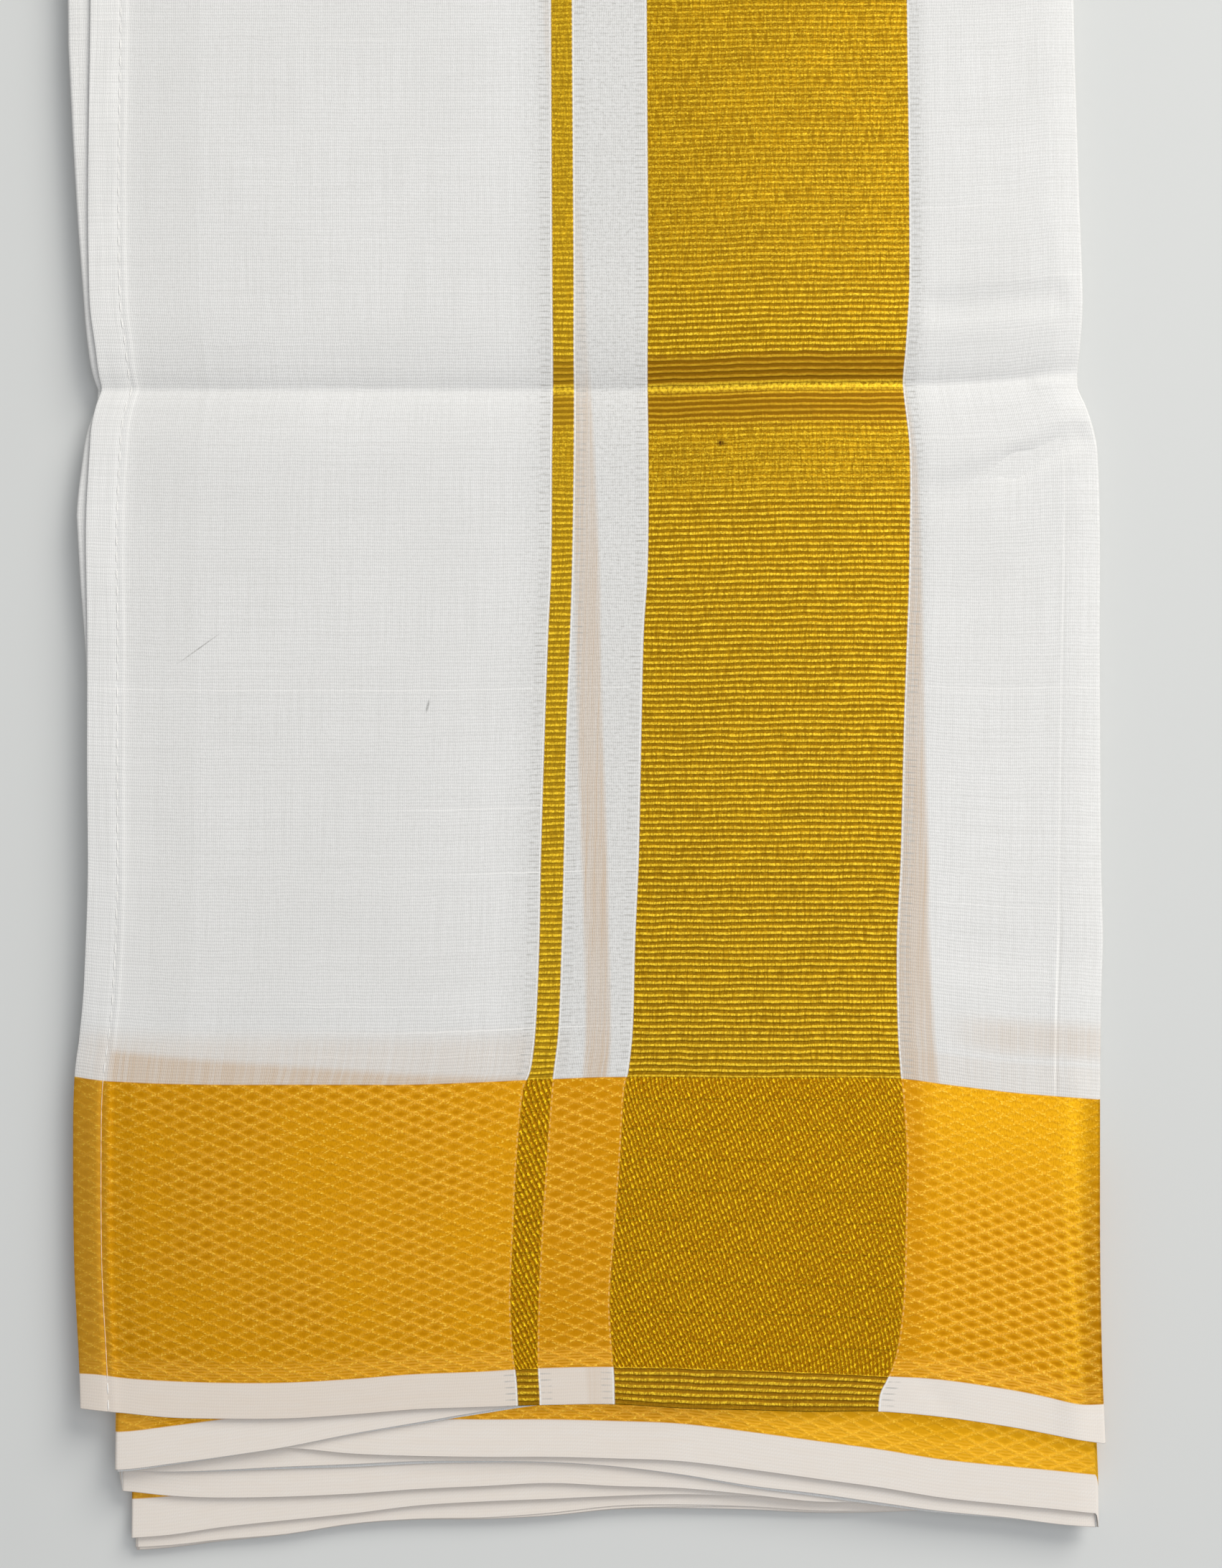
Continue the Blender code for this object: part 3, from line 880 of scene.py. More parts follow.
def woven_cotton(context, kind, weft_zari):
    """Return the cloth: bleached cotton, plain woven, with metallised zari woven in.

    The cotton is matt with a thread grid that shows in streaks. The zari is a flat metal foil
    wound on a thread, so it glints in short dashes where a thread comes up, over darker gold.
    """
    name = "Bleached cotton voile with woven zari, " + kind
    if name in bpy.data.materials:
        return bpy.data.materials[name]
    colours = context.scene.dhoti_colours
    material, tree, shader = new_material(name)
    shade = {key: (*getattr(colours, key), 1.0) for key in colours.__annotations__}
    mm = sizes_in_mm(context)

    weave = add(tree, "UVMap", {}, uv_map="weave")
    straight = add(tree, "VectorMath", {0: weave, "Scale": 1 / MM}, operation="SCALE")
    wander = add(tree, "TexNoise", {"Vector": straight, "Scale": 0.11, "Detail": 2.0}, 1)
    jitter = add(tree, "TexNoise", {"Vector": straight, "Scale": 1.1, "Detail": 1.0}, 1)
    spot = add(tree, "VectorMath", {0: wander, 1: (0.9, 0.9, 0.0), 2: straight},
               operation="MULTIPLY_ADD")
    spot = add(tree, "VectorMath", {0: jitter, 1: (0.4, 0.22, 0.0), 2: spot},
               operation="MULTIPLY_ADD")
    spot = add(tree, "VectorMath", {0: spot, 1: (0.65, 0.56, 0.0)}, operation="SUBTRACT")
    u = add(tree, "SeparateXYZ", {0: straight}, 0)
    v = add(tree, "SeparateXYZ", {0: straight}, 1)

    cotton, cotton_height = plain_weave(tree, shade, mm, spot, u, v, weft_zari)
    border, border_height = diamond_border(tree, shade, mm, spot, u, v)
    gold = zone(v, mm["selvedge_width"], mm["border_top"], 0.25)
    if not weft_zari:
        # Painted sheen: the lower panels' border is painted lighter towards the right.
        lit = zone(u, 190.0, 340.0, 30.0, inside=0.35)
        border = lay_colours(tree, border, [(lit, shade["border_sheen"])])
    colour = lay_colours(tree, cotton, [(gold, border)])
    height = add(tree, "Mix", {0: gold, 2: cotton_height, 3: border_height})
    if weft_zari:
        colour = lay_colours(tree, cotton, show_through(tree, shade, u, v, spot))
        colour = lay_colours(tree, colour, [(gold, border)])
        colour = lay_colours(tree, colour, corded_edges(tree, shade, mm, straight, u, gold))
        stripe = zone(u, mm["stripe_start"], mm["stripe_end"], 0.2)
        band = zone(u, mm["band_start"], mm["band_end"], 0.2)
        weft = add(tree, "Math", {0: stripe, 1: band}, operation="MAXIMUM")
        ribs, ribs_height = ribbed_zari(tree, shade, mm, spot, v)
        twill, twill_height = sparkling_twill(tree, shade, spot)
        ribs = lay_colours(tree, ribs, [(gold, twill)])
        ribs_height = add(tree, "Mix", {0: gold, 2: ribs_height, 3: twill_height})
        # Painted glint: above the border the stripe gets a little more glint colour.
        brighter = zone(v, mm["border_top"], 1200.0, 0.5, inside=0.10)
        brighter = add(tree, "Math", {0: stripe, 1: brighter}, operation="MULTIPLY")
        colour = lay_colours(tree, colour, [(weft, ribs), (brighter, shade["zari_glint"])])
        height = add(tree, "Mix", {0: weft, 2: height, 3: ribs_height})
        gold = add(tree, "Math", {0: gold, 1: weft}, operation="MAXIMUM")
        colour = lay_colours(tree, colour, small_marks(tree, straight))
    tree.links.new(colour, shader.inputs["Base Color"])
    metal = add(tree, "MapRange", {0: gold, 3: 0.0, 4: 0.7})
    tree.links.new(metal, shader.inputs["Metallic"])
    rough = add(tree, "MapRange", {0: gold, 3: 0.88, 4: 0.48})
    tree.links.new(rough, shader.inputs["Roughness"])
    bump = add(tree, "Bump", {"Strength": 0.6, "Distance": 0.00022, "Height": height})
    tree.links.new(bump, shader.inputs["Normal"])
    shader.inputs["Specular IOR Level"].default_value = 0.1
    return material


def plain_weave(tree, shade, mm, spot, u, v, weft_zari):
    """Return the colour and height of the plain woven cotton, with its closer selvedge.

    The weave is opener beside the stripe and the band, where the heavy zari pulls the threads
    apart, and it looks closer where the hem's layers lie under it. Light and shade are painted in
    as well: painted shade darker towards the left and low down, painted light up the hem and
    towards the right fold, a painted highlight along the hem's inner edge, and the pressed line's
    painted highlight and shadow.
    """
    openness = 0.20
    if weft_zari:
        beside_stripe = zone(u, 138.0, 176.0, 9.0, inside=0.68, outside=0.22)
        beside_band = zone(u, 250.0, 261.0, 3.0, inside=0.68, outside=beside_stripe)
        hidden_hem = zone(v, 60.0, 205.0, 20.0, inside=0.10, outside=beside_band)
        second_hem = zone(u, 11.0, 20.5, 0.5, inside=hidden_hem, outside=beside_band)
        openness = zone(u, -13.0, mm["hem_width"], 0.3, inside=0.04, outside=second_hem)
    weft_line = threads(spot, 0.0, 1 / mm["weft_pitch"], 0.06, 0.5)
    warp_line = threads(spot, 1 / mm["warp_pitch"], 0.0, 0.06, 0.5)
    weft_gap = threads(spot, 0.0, 1 / mm["weft_pitch"], 0.10, 0.5, on=0.0,
                       between=openness)
    warp_gap = threads(spot, 1 / mm["warp_pitch"], 0.0, 0.10, 0.5, on=0.0,
                       between=openness)
    # Painted light: the hem is painted lighter towards the back of the cloth.
    hem_lit = add(tree, "MapRange", {0: v, 1: 150.0, 2: 450.0, 3: 0.0, 4: 0.60})
    # Painted shade: the cotton is painted darker towards the left and low down, where less light
    # falls.
    low_left_shade = add(tree, "MapRange", {0: v, 1: 120.0, 2: 220.0, 3: 0.22, 4: 0.0})
    low_left_shade = zone(u, -13.0, 120.0, 14.0, inside=low_left_shade)
    colour = lay_colours(tree, shade["cotton"], [
        (openness, shade["cotton_veil"]),
        (zone(u, -13.0, mm["hem_width"], 0.3, inside=hem_lit), shade["thread"]),
        (low_left_shade, shade["cotton_veil"]),
        # Darker beside the hem's inner edge.
        (zone(u, mm["hem_width"] + 0.4, 34.0, 0.5, inside=0.35), shade["cotton_veil"]),
        # Painted shade, darker towards the left.
        (zone(u, 30.0, 120.0, 14.0, inside=0.15), shade["cotton_veil"]),
        (slubs(spot, 1.5, 0.03, 0.40, 0.70, on=0.55), shade["cotton_veil"]),
        (slubs(spot, 0.03, 1.0, 0.40, 0.70, on=0.48), shade["cotton_veil"]),
        (slubs(spot, 0.02, 0.02, 0.35, 0.70, on=0.35), shade["cotton_veil"]),
        (slubs(spot, 0.9, 0.9, 0.45, 0.75, off=0.0, on=weft_gap), shade["cotton_shade"]),
        (slubs(spot, 0.7, 0.7, 0.35, 0.75, off=0.0, on=warp_gap), shade["cotton_shade"]),
        (slubs(spot, 0.005, 1.1, 0.70, 0.76, on=0.6), shade["thread"]),
        # Painted light: lighter towards the right fold.
        (zone(u, 262.0, 345.0, 6.0, inside=0.08), shade["thread"]),
        (zone(v, 223.3, 223.7, 0.2, inside=0.35), shade["thread"]),
        # Painted highlight along the hem's inner edge, where its fold catches the light.
        (zone(u, mm["hem_width"] - 0.6, mm["hem_width"] + 0.2, 0.3, inside=0.30),
         shade["thread"]),
        # The pressed line's painted highlight and painted shadow.
        *pressed_line(tree, shade, spot, u, v),
    ])
    twill = threads(spot, 0.9, -0.9, 0.1, 0.5,
                    on=slubs(spot, 0.1, 0.6, 0.3, 0.8, on=0.35))
    strip = lay_colours(tree, shade["selvedge"], [
        (twill, shade["cotton"]),
        (zone(u, -13.0, 172.0, 8.0, inside=0.26 if weft_zari else 0.06),
         shade["show_through"]),
    ])
    edge = zone(v, -20.0, mm["selvedge_width"], 0.3)
    colour = lay_colours(tree, colour, [(edge, strip)])
    height = add(tree, "Math", {0: weft_line, 1: warp_line}, operation="ADD")
    coarse = add(tree, "MapRange", {0: edge, 3: 0.28, 4: 0.10})
    height = add(tree, "Math", {0: height, 1: coarse}, operation="MULTIPLY")
    return colour, height


def pressed_line(tree, shade, spot, u, v):
    """Return the layers of painted highlight and painted shadow along the line pressed near the
    right fold.
    """
    leaning = add(tree, "Math", {0: v, 1: -0.0145, 2: 1.45}, operation="MULTIPLY_ADD")
    across = add(tree, "Math", {0: u, 1: leaning}, operation="ADD")
    faint = zone(v, 103.0, 292.0, 12.0, inside=0.40)
    strength = zone(v, 104.0, 160.0, 6.0, inside=0.95, outside=faint)
    strength = slubs(spot, 0.1, 0.08, 0.30, 0.55, off=0.25, on=strength)
    shadow = add(tree, "Math", {0: strength, 1: 0.28}, operation="MULTIPLY")
    return [
        (zone(across, 301.2, 302.0, 0.4, inside=shadow), shade["cotton_shade"]),
        (zone(across, 300.5, 301.1, 0.2, inside=strength), shade["thread"]),
    ]


def diamond_border(tree, shade, mm, spot, u, v):
    """Return the colour and height of the zari border's diamond twill.

    Orange gold lines cross over darker lozenges, with painted glints where a thread floats.
    Towards the right fold the lozenges are pulled askew. A painted sheen lies along the fold and
    over the top of its corner, where the lattice fades under it, and the fold's edge, which rolls
    away from the light, is painted in shade. The hem's part, which tilts away from the light, is
    painted lighter.
    """
    per_u = 1 / mm["diamond_width"]
    per_v = 1 / mm["diamond_height"]
    pull = add(tree, "MapRange", {0: u, 1: 256.0, 2: 320.0, 3: 0.0, 4: 1.0},
               interpolation_type="SMOOTHSTEP")
    pull = add(tree, "Math", {0: pull, 1: v}, operation="MULTIPLY")
    pull = add(tree, "Math", {0: pull, 1: 0.11}, operation="MULTIPLY")
    pull = add(tree, "CombineXYZ", {0: pull})
    spot = add(tree, "VectorMath", {0: spot, 1: pull}, operation="ADD")
    patchiness = slubs(spot, 0.030, 0.045, 0.36, 0.62, off=0.20, on=0.85)
    # Towards the top of the right part the lattice fades under the painted sheen of the corner.
    drawn = add(tree, "MapRange", {0: v, 1: 55.0, 2: 92.0, 3: 1.0, 4: 0.08},
                interpolation_type="SMOOTHSTEP")
    patchiness = zone(u, 266.0, 350.0, 10.0, inside=drawn, outside=patchiness)
    rising_gap = threads(spot, per_u, per_v, 0.10, 0.44, on=0.0, between=patchiness)
    hollow = threads(spot, per_u, -per_v, 0.10, 0.44, on=0.0, between=rising_gap)
    rising = threads(spot, per_u, per_v, 0.02, 0.24)
    lattice = threads(spot, per_u, -per_v, 0.02, 0.24, on=1.0, between=rising)
    pale = slubs(spot, 1.8, 2.2, 0.36, 0.62, off=0.05, on=patchiness)
    # Painted glints on the lattice, where a thread floats.
    float_glints = slubs(spot, 1.2, 2.0, 0.53, 0.68, off=0.0, on=lattice)
    weft_rows = threads(spot, 0.0, 2 * per_v, 0.1, 0.5, on=0.0, between=0.22)
    hatch = slubs(spot, 2.2, 0.9, 0.46, 0.64, on=0.50)
    near_edge = zone(v, mm["selvedge_width"], mm["selvedge_width"] + 6.0, 2.0, inside=0.6)
    edge_rows = threads(spot, 0.0, 1 / 0.93, 0.1, 0.5, on=near_edge)
    # Painted highlight where the right fold turns to the light.
    shining = slubs(spot, 1.1, 1.5, 0.35, 0.60, off=0.30, on=1.0)
    shining = zone(u, 303.0, 309.0, 3.5, inside=shining)
    # Painted sheen over the top of the border's right corner.
    corner = add(tree, "MapRange", {0: v, 1: 50.0, 2: 96.0, 3: 0.0, 4: 0.45})
    corner = zone(u, 262.0, 350.0, 5.0, inside=corner)
    colour = lay_colours(tree, shade["border"], [
        (zone(u, 150.0, 262.0, 3.0, inside=0.55), shade["border_shade"]),
        # Painted shade on the fold's edge, which rolls away from the light.
        (zone(u, 311.0, 330.0, 1.5, inside=0.50), shade["border_shade"]),
        (corner, shade["border_sheen"]),
        (shining, shade["border_sheen"]),
        (threads(spot, per_u, -per_v, 0.03, 0.33, on=pale), shade["border_line"]),
        (threads(spot, per_u, per_v, 0.03, 0.33, on=pale), shade["border_line"]),
        (hatch, shade["border_shade"]),
        (weft_rows, shade["border_shade"]),
        (hollow, shade["border_shade"]),
        # Painted light: the hem's part of the border, which tilts away from the light, is painted
        # lighter.
        (zone(u, -13.0, mm["hem_width"] - 1.2, 1.2, inside=0.45), shade["border_line"]),
        (edge_rows, shade["border_line"]),
        (float_glints, shade["border_glint"]),
    ])
    return colour, add(tree, "Math", {0: lattice, 1: 0.3}, operation="MULTIPLY")


def ribbed_zari(tree, shade, mm, spot, v):
    """Return the colour and height of the zari band and stripe, ribbed across.

    Each rib is a bright row of glints that dark warp threads break up, over a dull row. Above
    the crease and just below it the ribs are flatter. Along both sides of the crease, where the
    zari slopes away from the light, it is painted in a shaded brown with few glints, and a
    painted highlight runs along the crease's crest.
    """
    per_rib = 1 / mm["rib_pitch"]
    upper = add(tree, "MapRange", {0: v, 1: 335.0, 2: 375.0, 3: 0.85, 4: 0.45},
                interpolation_type="SMOOTHSTEP")
    ribbing = zone(v, 284.0, 304.0, 5.0, inside=0.42, outside=upper)
    # Painted shade along the press crease: the glints are cut on both sides of it.
    crease_dimming = zone(v, 318.8, 327.0, 1.8, inside=0.12, outside=1.0)
    shining = zone(v, 306.5, 316.6, 3.4, inside=0.20, outside=crease_dimming)
    lowest = zone(v, 60.0, 150.0, 20.0, inside=0.30, outside=0.18)
    flecks = slubs(spot, 1.7, 1.3, 0.38, 0.60, off=lowest, on=shining)
    unbroken = slubs(spot, 2.1, 0.16, 0.40, 0.52, off=0.15, on=flecks)
    flat_glint = slubs(spot, 1.3, 1.9, 0.50, 0.66, off=0.0, on=unbroken)
    rib_glint = threads(spot, 0.0, per_rib, 0.10, 0.30, on=unbroken)
    glint = add(tree, "Mix", {0: ribbing, 2: flat_glint, 3: rib_glint})
    half_rib = threads(spot, 0.0, 2 * per_rib, 0.08, 0.35, on=0.30)
    furrow_depth = add(tree, "Math", {0: ribbing, 1: 0.72}, operation="MULTIPLY")
    furrow = threads(spot, 0.0, per_rib, 0.16, 0.42, on=0.0, between=furrow_depth)
    warp_shadow = slubs(spot, 1.5, 0.16, 0.44, 0.58, off=0.50, on=0.0)
    patchy = slubs(spot, 1.0, 1.4, 0.42, 0.60, off=0.45, on=0.0)
    patchiness = slubs(spot, 0.05, 0.07, 0.35, 0.65, off=0.0, on=0.25)
    # Noise that makes the edges of the painted crease shade ragged.
    crease_edge_noise = add(tree, "TexNoise", {"Vector": spot, "Scale": 0.16, "Detail": 3.0})
    crease_edge_noise = add(tree, "Math", {0: crease_edge_noise, 1: 9.0, 2: -4.5}, operation="MULTIPLY_ADD")
    ragged_v = add(tree, "Math", {0: v, 1: crease_edge_noise}, operation="ADD")
    # Painted shade: the ribs on both sides of the crease turn a shaded brown, with darker rows and
    # a few glints.
    crease_shade_below = zone(ragged_v, 305.5, 317.0, 3.0, inside=0.62)
    crease_shade = zone(ragged_v, 318.0, 328.0, 2.0, inside=0.80, outside=crease_shade_below)
    crease_shade_rows = threads(spot, 0.0, per_rib, 0.10, 0.42, on=0.0, between=crease_shade)
    crease_glints = add(tree, "Math", {0: crease_shade, 1: 0.25}, operation="MULTIPLY")
    crease_glints = slubs(spot, 0.35, 1.2, 0.40, 0.65, off=0.0, on=crease_glints)
    crease_glints = threads(spot, 0.0, per_rib, 0.05, 0.22, on=crease_glints)
    crest = slubs(spot, 1.1, 0.8, 0.38, 0.62, off=0.15, on=0.75)
    colour = lay_colours(tree, shade["zari"], [
        (patchiness, shade["zari_shade"]),
        (half_rib, shade["zari_glint"]),
        (furrow, shade["zari_shade"]),
        (warp_shadow, shade["zari_shade"]),
        (patchy, shade["zari_shade"]),
        (crease_shade, shade["zari_dull"]),
        (crease_shade_rows, shade["zari_shade"]),
        (crease_glints, shade["zari_glint"]),
        (zone(v, -3.0, mm["selvedge_width"], 0.5, inside=0.45), shade["zari_dull"]),
        (glint, shade["zari_glint"]),
        (zone(v, -2.0, 0.55, 0.3, inside=0.85), shade["zari_shade"]),
        # Painted highlight along the crease's crest.
        (zone(v, 316.2, 318.6, 1.0, inside=crest), shade["zari_glint"]),
    ])
    return colour, threads(spot, 0.0, per_rib, 0.10, 0.42)


def sparkling_twill(tree, shade, spot):
    """Return the colour and height of the close twill where band and border cross.

    Short bright strokes of foil lean one way and line up in diagonals the other way. The real
    strokes are 0.6 mm apart, and are drawn at 1.1 mm so that they show.
    """
    staggered = threads(spot, 0.317, 0.256, 0.10, 0.50, on=1.0, between=0.55)
    diagonal = threads(spot, 0.260, -0.330, 0.08, 0.48, on=staggered, between=0.32)
    flecked = slubs(spot, 1.9, 1.3, 0.43, 0.54, off=0.0, on=diagonal)
    stroke = threads(spot, 0.833, 0.300, 0.10, 0.40, on=flecked)
    shadow = threads(spot, 0.260, -0.330, 0.15, 0.50, on=0.0, between=0.30)
    rows = threads(spot, 0.0, 1 / 9.6, 0.0, 0.04, on=0.7)
    colour = lay_colours(tree, shade["twill"], [
        (slubs(spot, 1.2, 1.2, 0.40, 0.65, on=0.5), shade["zari_shade"]),
        (shadow, shade["zari_shade"]),
        (rows, shade["zari_shade"]),
        (stroke, shade["twill_glint"]),
    ])
    return colour, threads(spot, 0.833, 0.300, 0.10, 0.40, on=0.6)


def corded_edges(tree, shade, mm, spot, u, gold):
    """Return the layers of the beaded cords along both edges of the stripe and the band.

    In the white parts they are white, with dark gaps of the open weave beside them, and in the
    border they are a broken line of pale floats.
    """
    cotton = add(tree, "MapRange", {0: gold, 3: 1.0, 4: 0.0})
    cord = add(tree, "Math", {0: cotton, 1: 0.45}, operation="MULTIPLY")
    bead = threads(spot, 0.0, 1 / mm["rib_pitch"], 0.20, 0.45, on=cotton, between=cord)
    border_bead = threads(spot, 0.0, 1 / mm["rib_pitch"], 0.10, 0.45, on=gold)
    border_bead = slubs(spot, 0.2, 0.5, 0.30, 0.55, off=0.0, on=border_bead)
    past_edges = []
    for start, end in (("stripe_start", "stripe_end"), ("band_start", "band_end")):
        away = add(tree, "Math", {0: u, 1: (mm[start] + mm[end]) / 2}, operation="SUBTRACT")
        away = add(tree, "Math", {0: away}, operation="ABSOLUTE")
        past = add(tree, "Math", {0: away, 1: (mm[end] - mm[start]) / 2}, operation="SUBTRACT")
        past_edges.append(past)
    past = add(tree, "Math", {0: past_edges[0], 1: past_edges[1]}, operation="MINIMUM")
    ticks = zone(past, 0.6, 4.0, 0.5, inside=cotton)
    ticks = threads(spot, 0.0, 1 / mm["rib_pitch"], 0.03, 0.20, on=ticks)
    ticks = slubs(spot, 0.25, 0.5, 0.30, 0.65, off=0.0, on=ticks)
    ticks = add(tree, "Math", {0: ticks, 1: 0.7}, operation="MULTIPLY")
    return [
        (ticks, shade["cotton_shade"]),
        (zone(past, 0.15, 0.55, 0.15, inside=bead), shade["cotton"]),
        (zone(past, 0.15, 0.55, 0.15, inside=border_bead), shade["border_bead"]),
    ]


def show_through(tree, shade, u, v, spot):
    """Return the layers of the hidden leaf's zari, seen through the front leaf's open weave.

    The hidden leaf lies a little askew, so its stripe and its band's edge come out to the right
    of the front leaf's, and its border comes out in a wedge above the front leaf's.
    """
    past = add(tree, "Math", {0: v, 1: HIDDEN_PIVOT}, operation="SUBTRACT")
    stripe_u = add(tree, "Math", {0: past, 1: HIDDEN_STRIPE_LEAN, 2: u}, operation="MULTIPLY_ADD")
    band_u = add(tree, "Math", {0: past, 1: HIDDEN_BAND_LEAN, 2: u}, operation="MULTIPLY_ADD")
    hidden_v = add(tree, "Math", {0: u, 1: HIDDEN_BORDER_LEAN, 2: v}, operation="MULTIPLY_ADD")
    grid = threads(spot, 1 / 0.56, 0.0, 0.10, 0.50, on=0.65, between=1.0)
    grid = slubs(spot, 1.3, 0.015, 0.35, 0.60, off=0.50, on=grid)
    lower = add(tree, "MapRange", {0: v, 1: 180.0, 2: 300.0, 3: 1.0, 4: 0.75})
    below_crease = add(tree, "MapRange", {0: v, 1: 312.0, 2: 324.0, 3: lower, 4: 0.30})
    fade = add(tree, "MapRange", {0: v, 1: 330.0, 2: 400.0, 3: below_crease, 4: 0.0})
    fade = slubs(spot, 0.05, 0.02, 0.2, 0.6, off=0.6, on=fade)
    inside_border = add(tree, "MapRange", {0: v, 1: 98.0, 2: 104.0, 3: 0.0, 4: fade})
    strip_fade = add(tree, "MapRange", {0: v, 1: 98.0, 2: 104.0, 3: 0.4, 4: fade})
    stripe = zone(stripe_u, 148.5, 156.2, 1.0, inside=strip_fade)
    band = zone(band_u, 240.0, 256.9, 1.0, inside=inside_border)
    left = zone(u, 11.0, 143.0, 1.0, inside=0.95)
    left = zone(hidden_v, 90.0, 113.0, 1.6, inside=left)
    haze = zone(u, 0.0, 150.0, 9.0, inside=0.35)
    haze = zone(v, 90.0, 117.0, 4.0, inside=haze)
    right = zone(u, 276.0, 352.0, 12.0, inside=0.45)
    right = zone(v, 114.5, 124.0, 3.2, inside=right)
    under = zone(u, 258.0, 340.0, 2.0, inside=0.22)
    under = zone(v, 90.0, 112.0, 1.0, inside=under)
    layers = []
    for mask in (stripe, band, left, haze, right, under):
        gridded = add(tree, "Math", {0: mask, 1: grid}, operation="MULTIPLY")
        layers.append((gridded, shade["show_through"]))
    return layers


def small_marks(tree, spot):
    """Return the layers of small flaws: a knot, a dark end of thread, a grey rub and a pull."""
    layers = []
    for u, v, half_u, half_v, turn, strength, tone in FLAWS:
        offset = add(tree, "VectorMath", {0: spot, 1: (u, v, 0.0)}, operation="SUBTRACT")
        offset = add(tree, "VectorRotate", {"Vector": offset, "Angle": radians(-turn)},
                     rotation_type="Z_AXIS")
        scaled = add(tree, "VectorMath", {0: offset, 1: (1 / half_u, 1 / half_v, 0.0)},
                     operation="MULTIPLY")
        length = add(tree, "VectorMath", {0: scaled}, 1, operation="LENGTH")
        ragged = slubs(spot, 1.6, 1.6, 0.25, 0.6, off=0.3 * strength, on=strength)
        layers.append((add(tree, "MapRange", {0: length, 1: 0.3, 2: 1.0, 3: ragged, 4: 0.0}),
                       (*linear(tone), 1.0)))
    return layers


def mottled(tree, spot, colour, per_metre, darkest):
    """Return a colour that an uneven pattern darkens, down to a share of itself."""
    patches = add(tree, "TexNoise", {"Vector": spot, "Scale": per_metre})
    dark = [channel * darkest for channel in colour]
    return add(tree, "Mix", {0: patches, 6: (*colour, 1.0), 7: (*dark, 1.0)}, 2,
               data_type="RGBA")


def sewing_thread(context):
    """Return mercerised cotton sewing thread: white, with a soft lustre and a fine twist."""
    material, tree, shader = new_material("Mercerised cotton sewing thread, spun")
    gold = context.scene.dhoti_colours.border_bead
    spot = add(tree, "TexCoord", {}, 3)
    tone = mottled(tree, spot, context.scene.dhoti_colours.thread, 2600.0, 0.8)
    across = add(tree, "SeparateXYZ", {0: spot}, 1)
    golden = zone(across, place(0.0, 10.5, 0.0).y, place(0.0, 100.5, 0.0).y, MM, inside=0.6)
    tone = add(tree, "Mix", {0: golden, 6: tone, 7: (*gold, 1.0)}, 2, data_type="RGBA")
    tree.links.new(tone, shader.inputs["Base Color"])
    shader.inputs["Roughness"].default_value = 0.6
    return material


def studio_floor(context):
    """Return painted studio board: matt and even, with the faintest mottle."""
    material, tree, shader = new_material("Matt painted studio board")
    spot = add(tree, "TexCoord", {}, 3)
    tone = mottled(tree, spot, context.scene.dhoti_colours.floor, 3.0, 0.96)
    tree.links.new(tone, shader.inputs["Base Color"])
    shader.inputs["Roughness"].default_value = 0.95
    return material


class DHOTI_OT_front_panel(bpy.types.Operator):
    """Build the front panel, its turned hem and its stitches"""

    bl_idname = "dhoti.front_panel"
    bl_label = "Front panel"

    def execute(self, context):
        panel = build_front(context)
        thicken_leaf(panel)
        stitches = build_stitches(context)
        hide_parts("front_panel", "end_hem")
        return {"FINISHED"}


class DHOTI_OT_lower_panels(bpy.types.Operator):
    """Build the five panels that the front fan shows"""

    bl_idname = "dhoti.lower_panels"
    bl_label = "Fanned panels"

    def execute(self, context):
        for number, panel in enumerate(LOWER_PANELS, start=2):
            piece = build_lower_panel(context, number, panel)
            thicken_leaf(piece)
            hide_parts(panel[0])
        return {"FINISHED"}


class DHOTI_OT_core(bpy.types.Operator):
    """Build the twelve leaves at the bottom of the folded cloth"""

    bl_idname = "dhoti.core"
    bl_label = "Folded core"

    def execute(self, context):
        piece = build_core(context)
        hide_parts("folded_core")
        return {"FINISHED"}


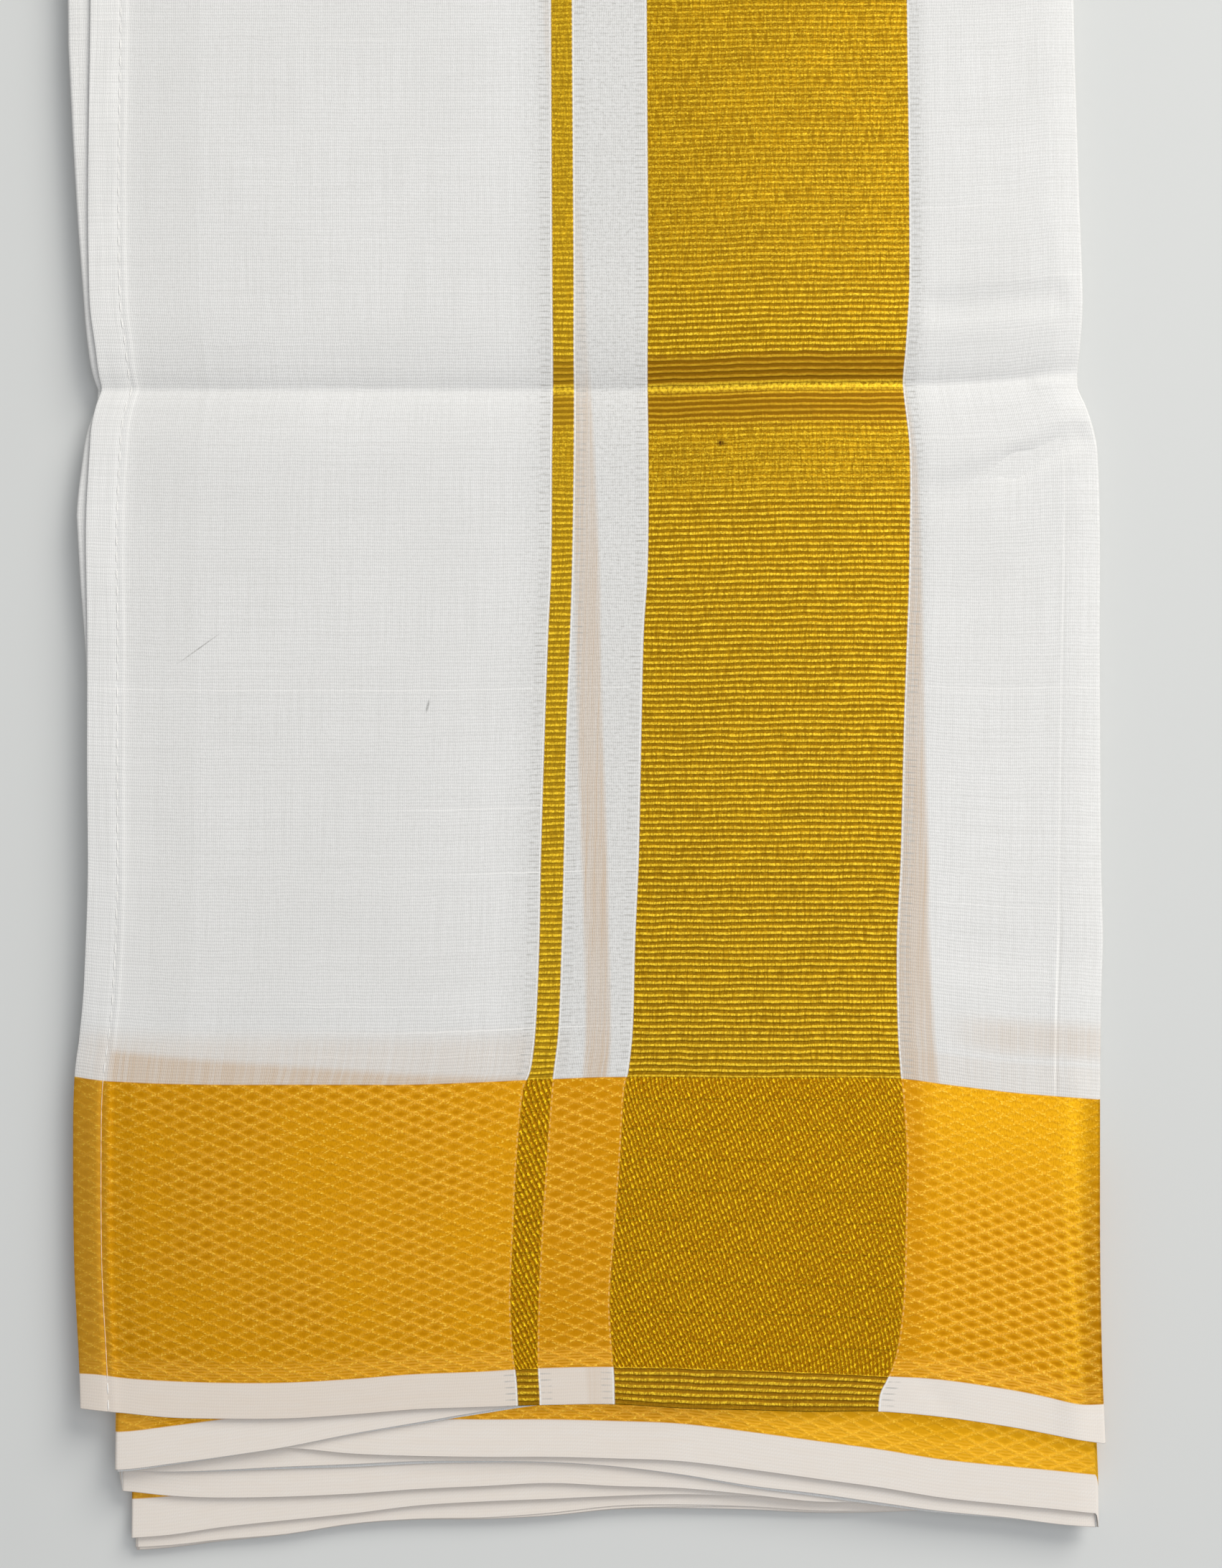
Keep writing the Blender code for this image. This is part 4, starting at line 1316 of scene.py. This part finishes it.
class DHOTI_OT_stage(bpy.types.Operator):
    """Set up the floor, the lights and the camera"""

    bl_idname = "dhoti.stage"
    bl_label = "Studio"

    def execute(self, context):
        scene = context.scene
        studio = scene.dhoti_studio
        bm = bmesh.new()
        bmesh.ops.create_grid(bm, x_segments=1, y_segments=1, size=4.0)
        floor = bpy.data.meshes.new("studio_floor")
        bm.to_mesh(floor)
        bm.free()
        floor.materials.append(studio_floor(context))
        floor = bpy.data.objects.new("studio_floor", floor)
        scene.collection.objects.link(floor)
        for light in LIGHTS:
            add_light(scene, *light)
        world = bpy.data.worlds.new("Studio air")
        world.use_nodes = True
        sky = world.node_tree.nodes["Background"]
        sky.inputs["Color"].default_value = (*linear("#F2F4F6"), 1.0)
        sky.inputs["Strength"].default_value = 0.32
        scene.world = world
        scene.view_settings.view_transform = "Standard"
        lens = bpy.data.cameras.new("view")
        lens.sensor_fit = "VERTICAL"
        lens.sensor_height = 36.0
        lens.lens = studio.camera_lens
        camera = bpy.data.objects.new("view", lens)
        scene.collection.objects.link(camera)
        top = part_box("front_panel")[1].z / MM
        aim = place(studio.aim_x / MM, studio.aim_y / MM, top)
        tilt = studio.camera_tilt
        camera.location = aim + studio.camera_distance * Vector((0.0, -sin(tilt), cos(tilt)))
        camera.rotation_euler = (tilt, 0.0, 0.0)
        scene.camera = camera
        return {"FINISHED"}


def add_light(scene, name, spot, size, power, tone):
    """Add one square soft light that faces the middle of the cloth."""
    lamp = bpy.data.lights.new(name, "AREA")
    lamp.size = size
    lamp.energy = power
    lamp.color = linear(tone)
    holder = bpy.data.objects.new(name, lamp)
    holder.location = spot
    holder.rotation_euler = (-Vector(spot)).to_track_quat("-Z", "Y").to_euler()
    scene.collection.objects.link(holder)


class DHOTI_PT_sidebar(bpy.types.Panel):
    """Sizes, colours and pieces of the folded dhoti"""

    bl_idname = "DHOTI_PT_sidebar"
    bl_label = "Folded dhoti cloth"
    bl_space_type = "VIEW_3D"
    bl_region_type = "UI"
    bl_category = "Dhoti"

    def draw(self, context):
        scene = context.scene
        for group in (scene.dhoti_sizes, scene.dhoti_colours, scene.dhoti_studio):
            box = self.layout.box()
            for name in group.__annotations__:
                box.prop(group, name)
        for operator in OPERATORS:
            self.layout.operator(operator.bl_idname)


OPERATORS = (DHOTI_OT_front_panel, DHOTI_OT_lower_panels, DHOTI_OT_core, DHOTI_OT_stage)
CLASSES = (DhotiSizes, DhotiColours, DhotiStudio, *OPERATORS, DHOTI_PT_sidebar)


def register():
    """Register the classes and keep the settings on the scene."""
    for item in CLASSES:
        bpy.utils.register_class(item)
    bpy.types.Scene.dhoti_sizes = bpy.props.PointerProperty(type=DhotiSizes)
    bpy.types.Scene.dhoti_colours = bpy.props.PointerProperty(type=DhotiColours)
    bpy.types.Scene.dhoti_studio = bpy.props.PointerProperty(type=DhotiStudio)


def unregister():
    """Take the settings and the classes away again."""
    del bpy.types.Scene.dhoti_studio
    del bpy.types.Scene.dhoti_colours
    del bpy.types.Scene.dhoti_sizes
    for item in reversed(CLASSES):
        bpy.utils.unregister_class(item)


def main():
    """Register the classes and build every piece."""
    register()
    bpy.ops.dhoti.front_panel()
    bpy.ops.dhoti.lower_panels()
    bpy.ops.dhoti.core()
    bpy.ops.dhoti.stage()


if __name__ == "__main__":
    main()
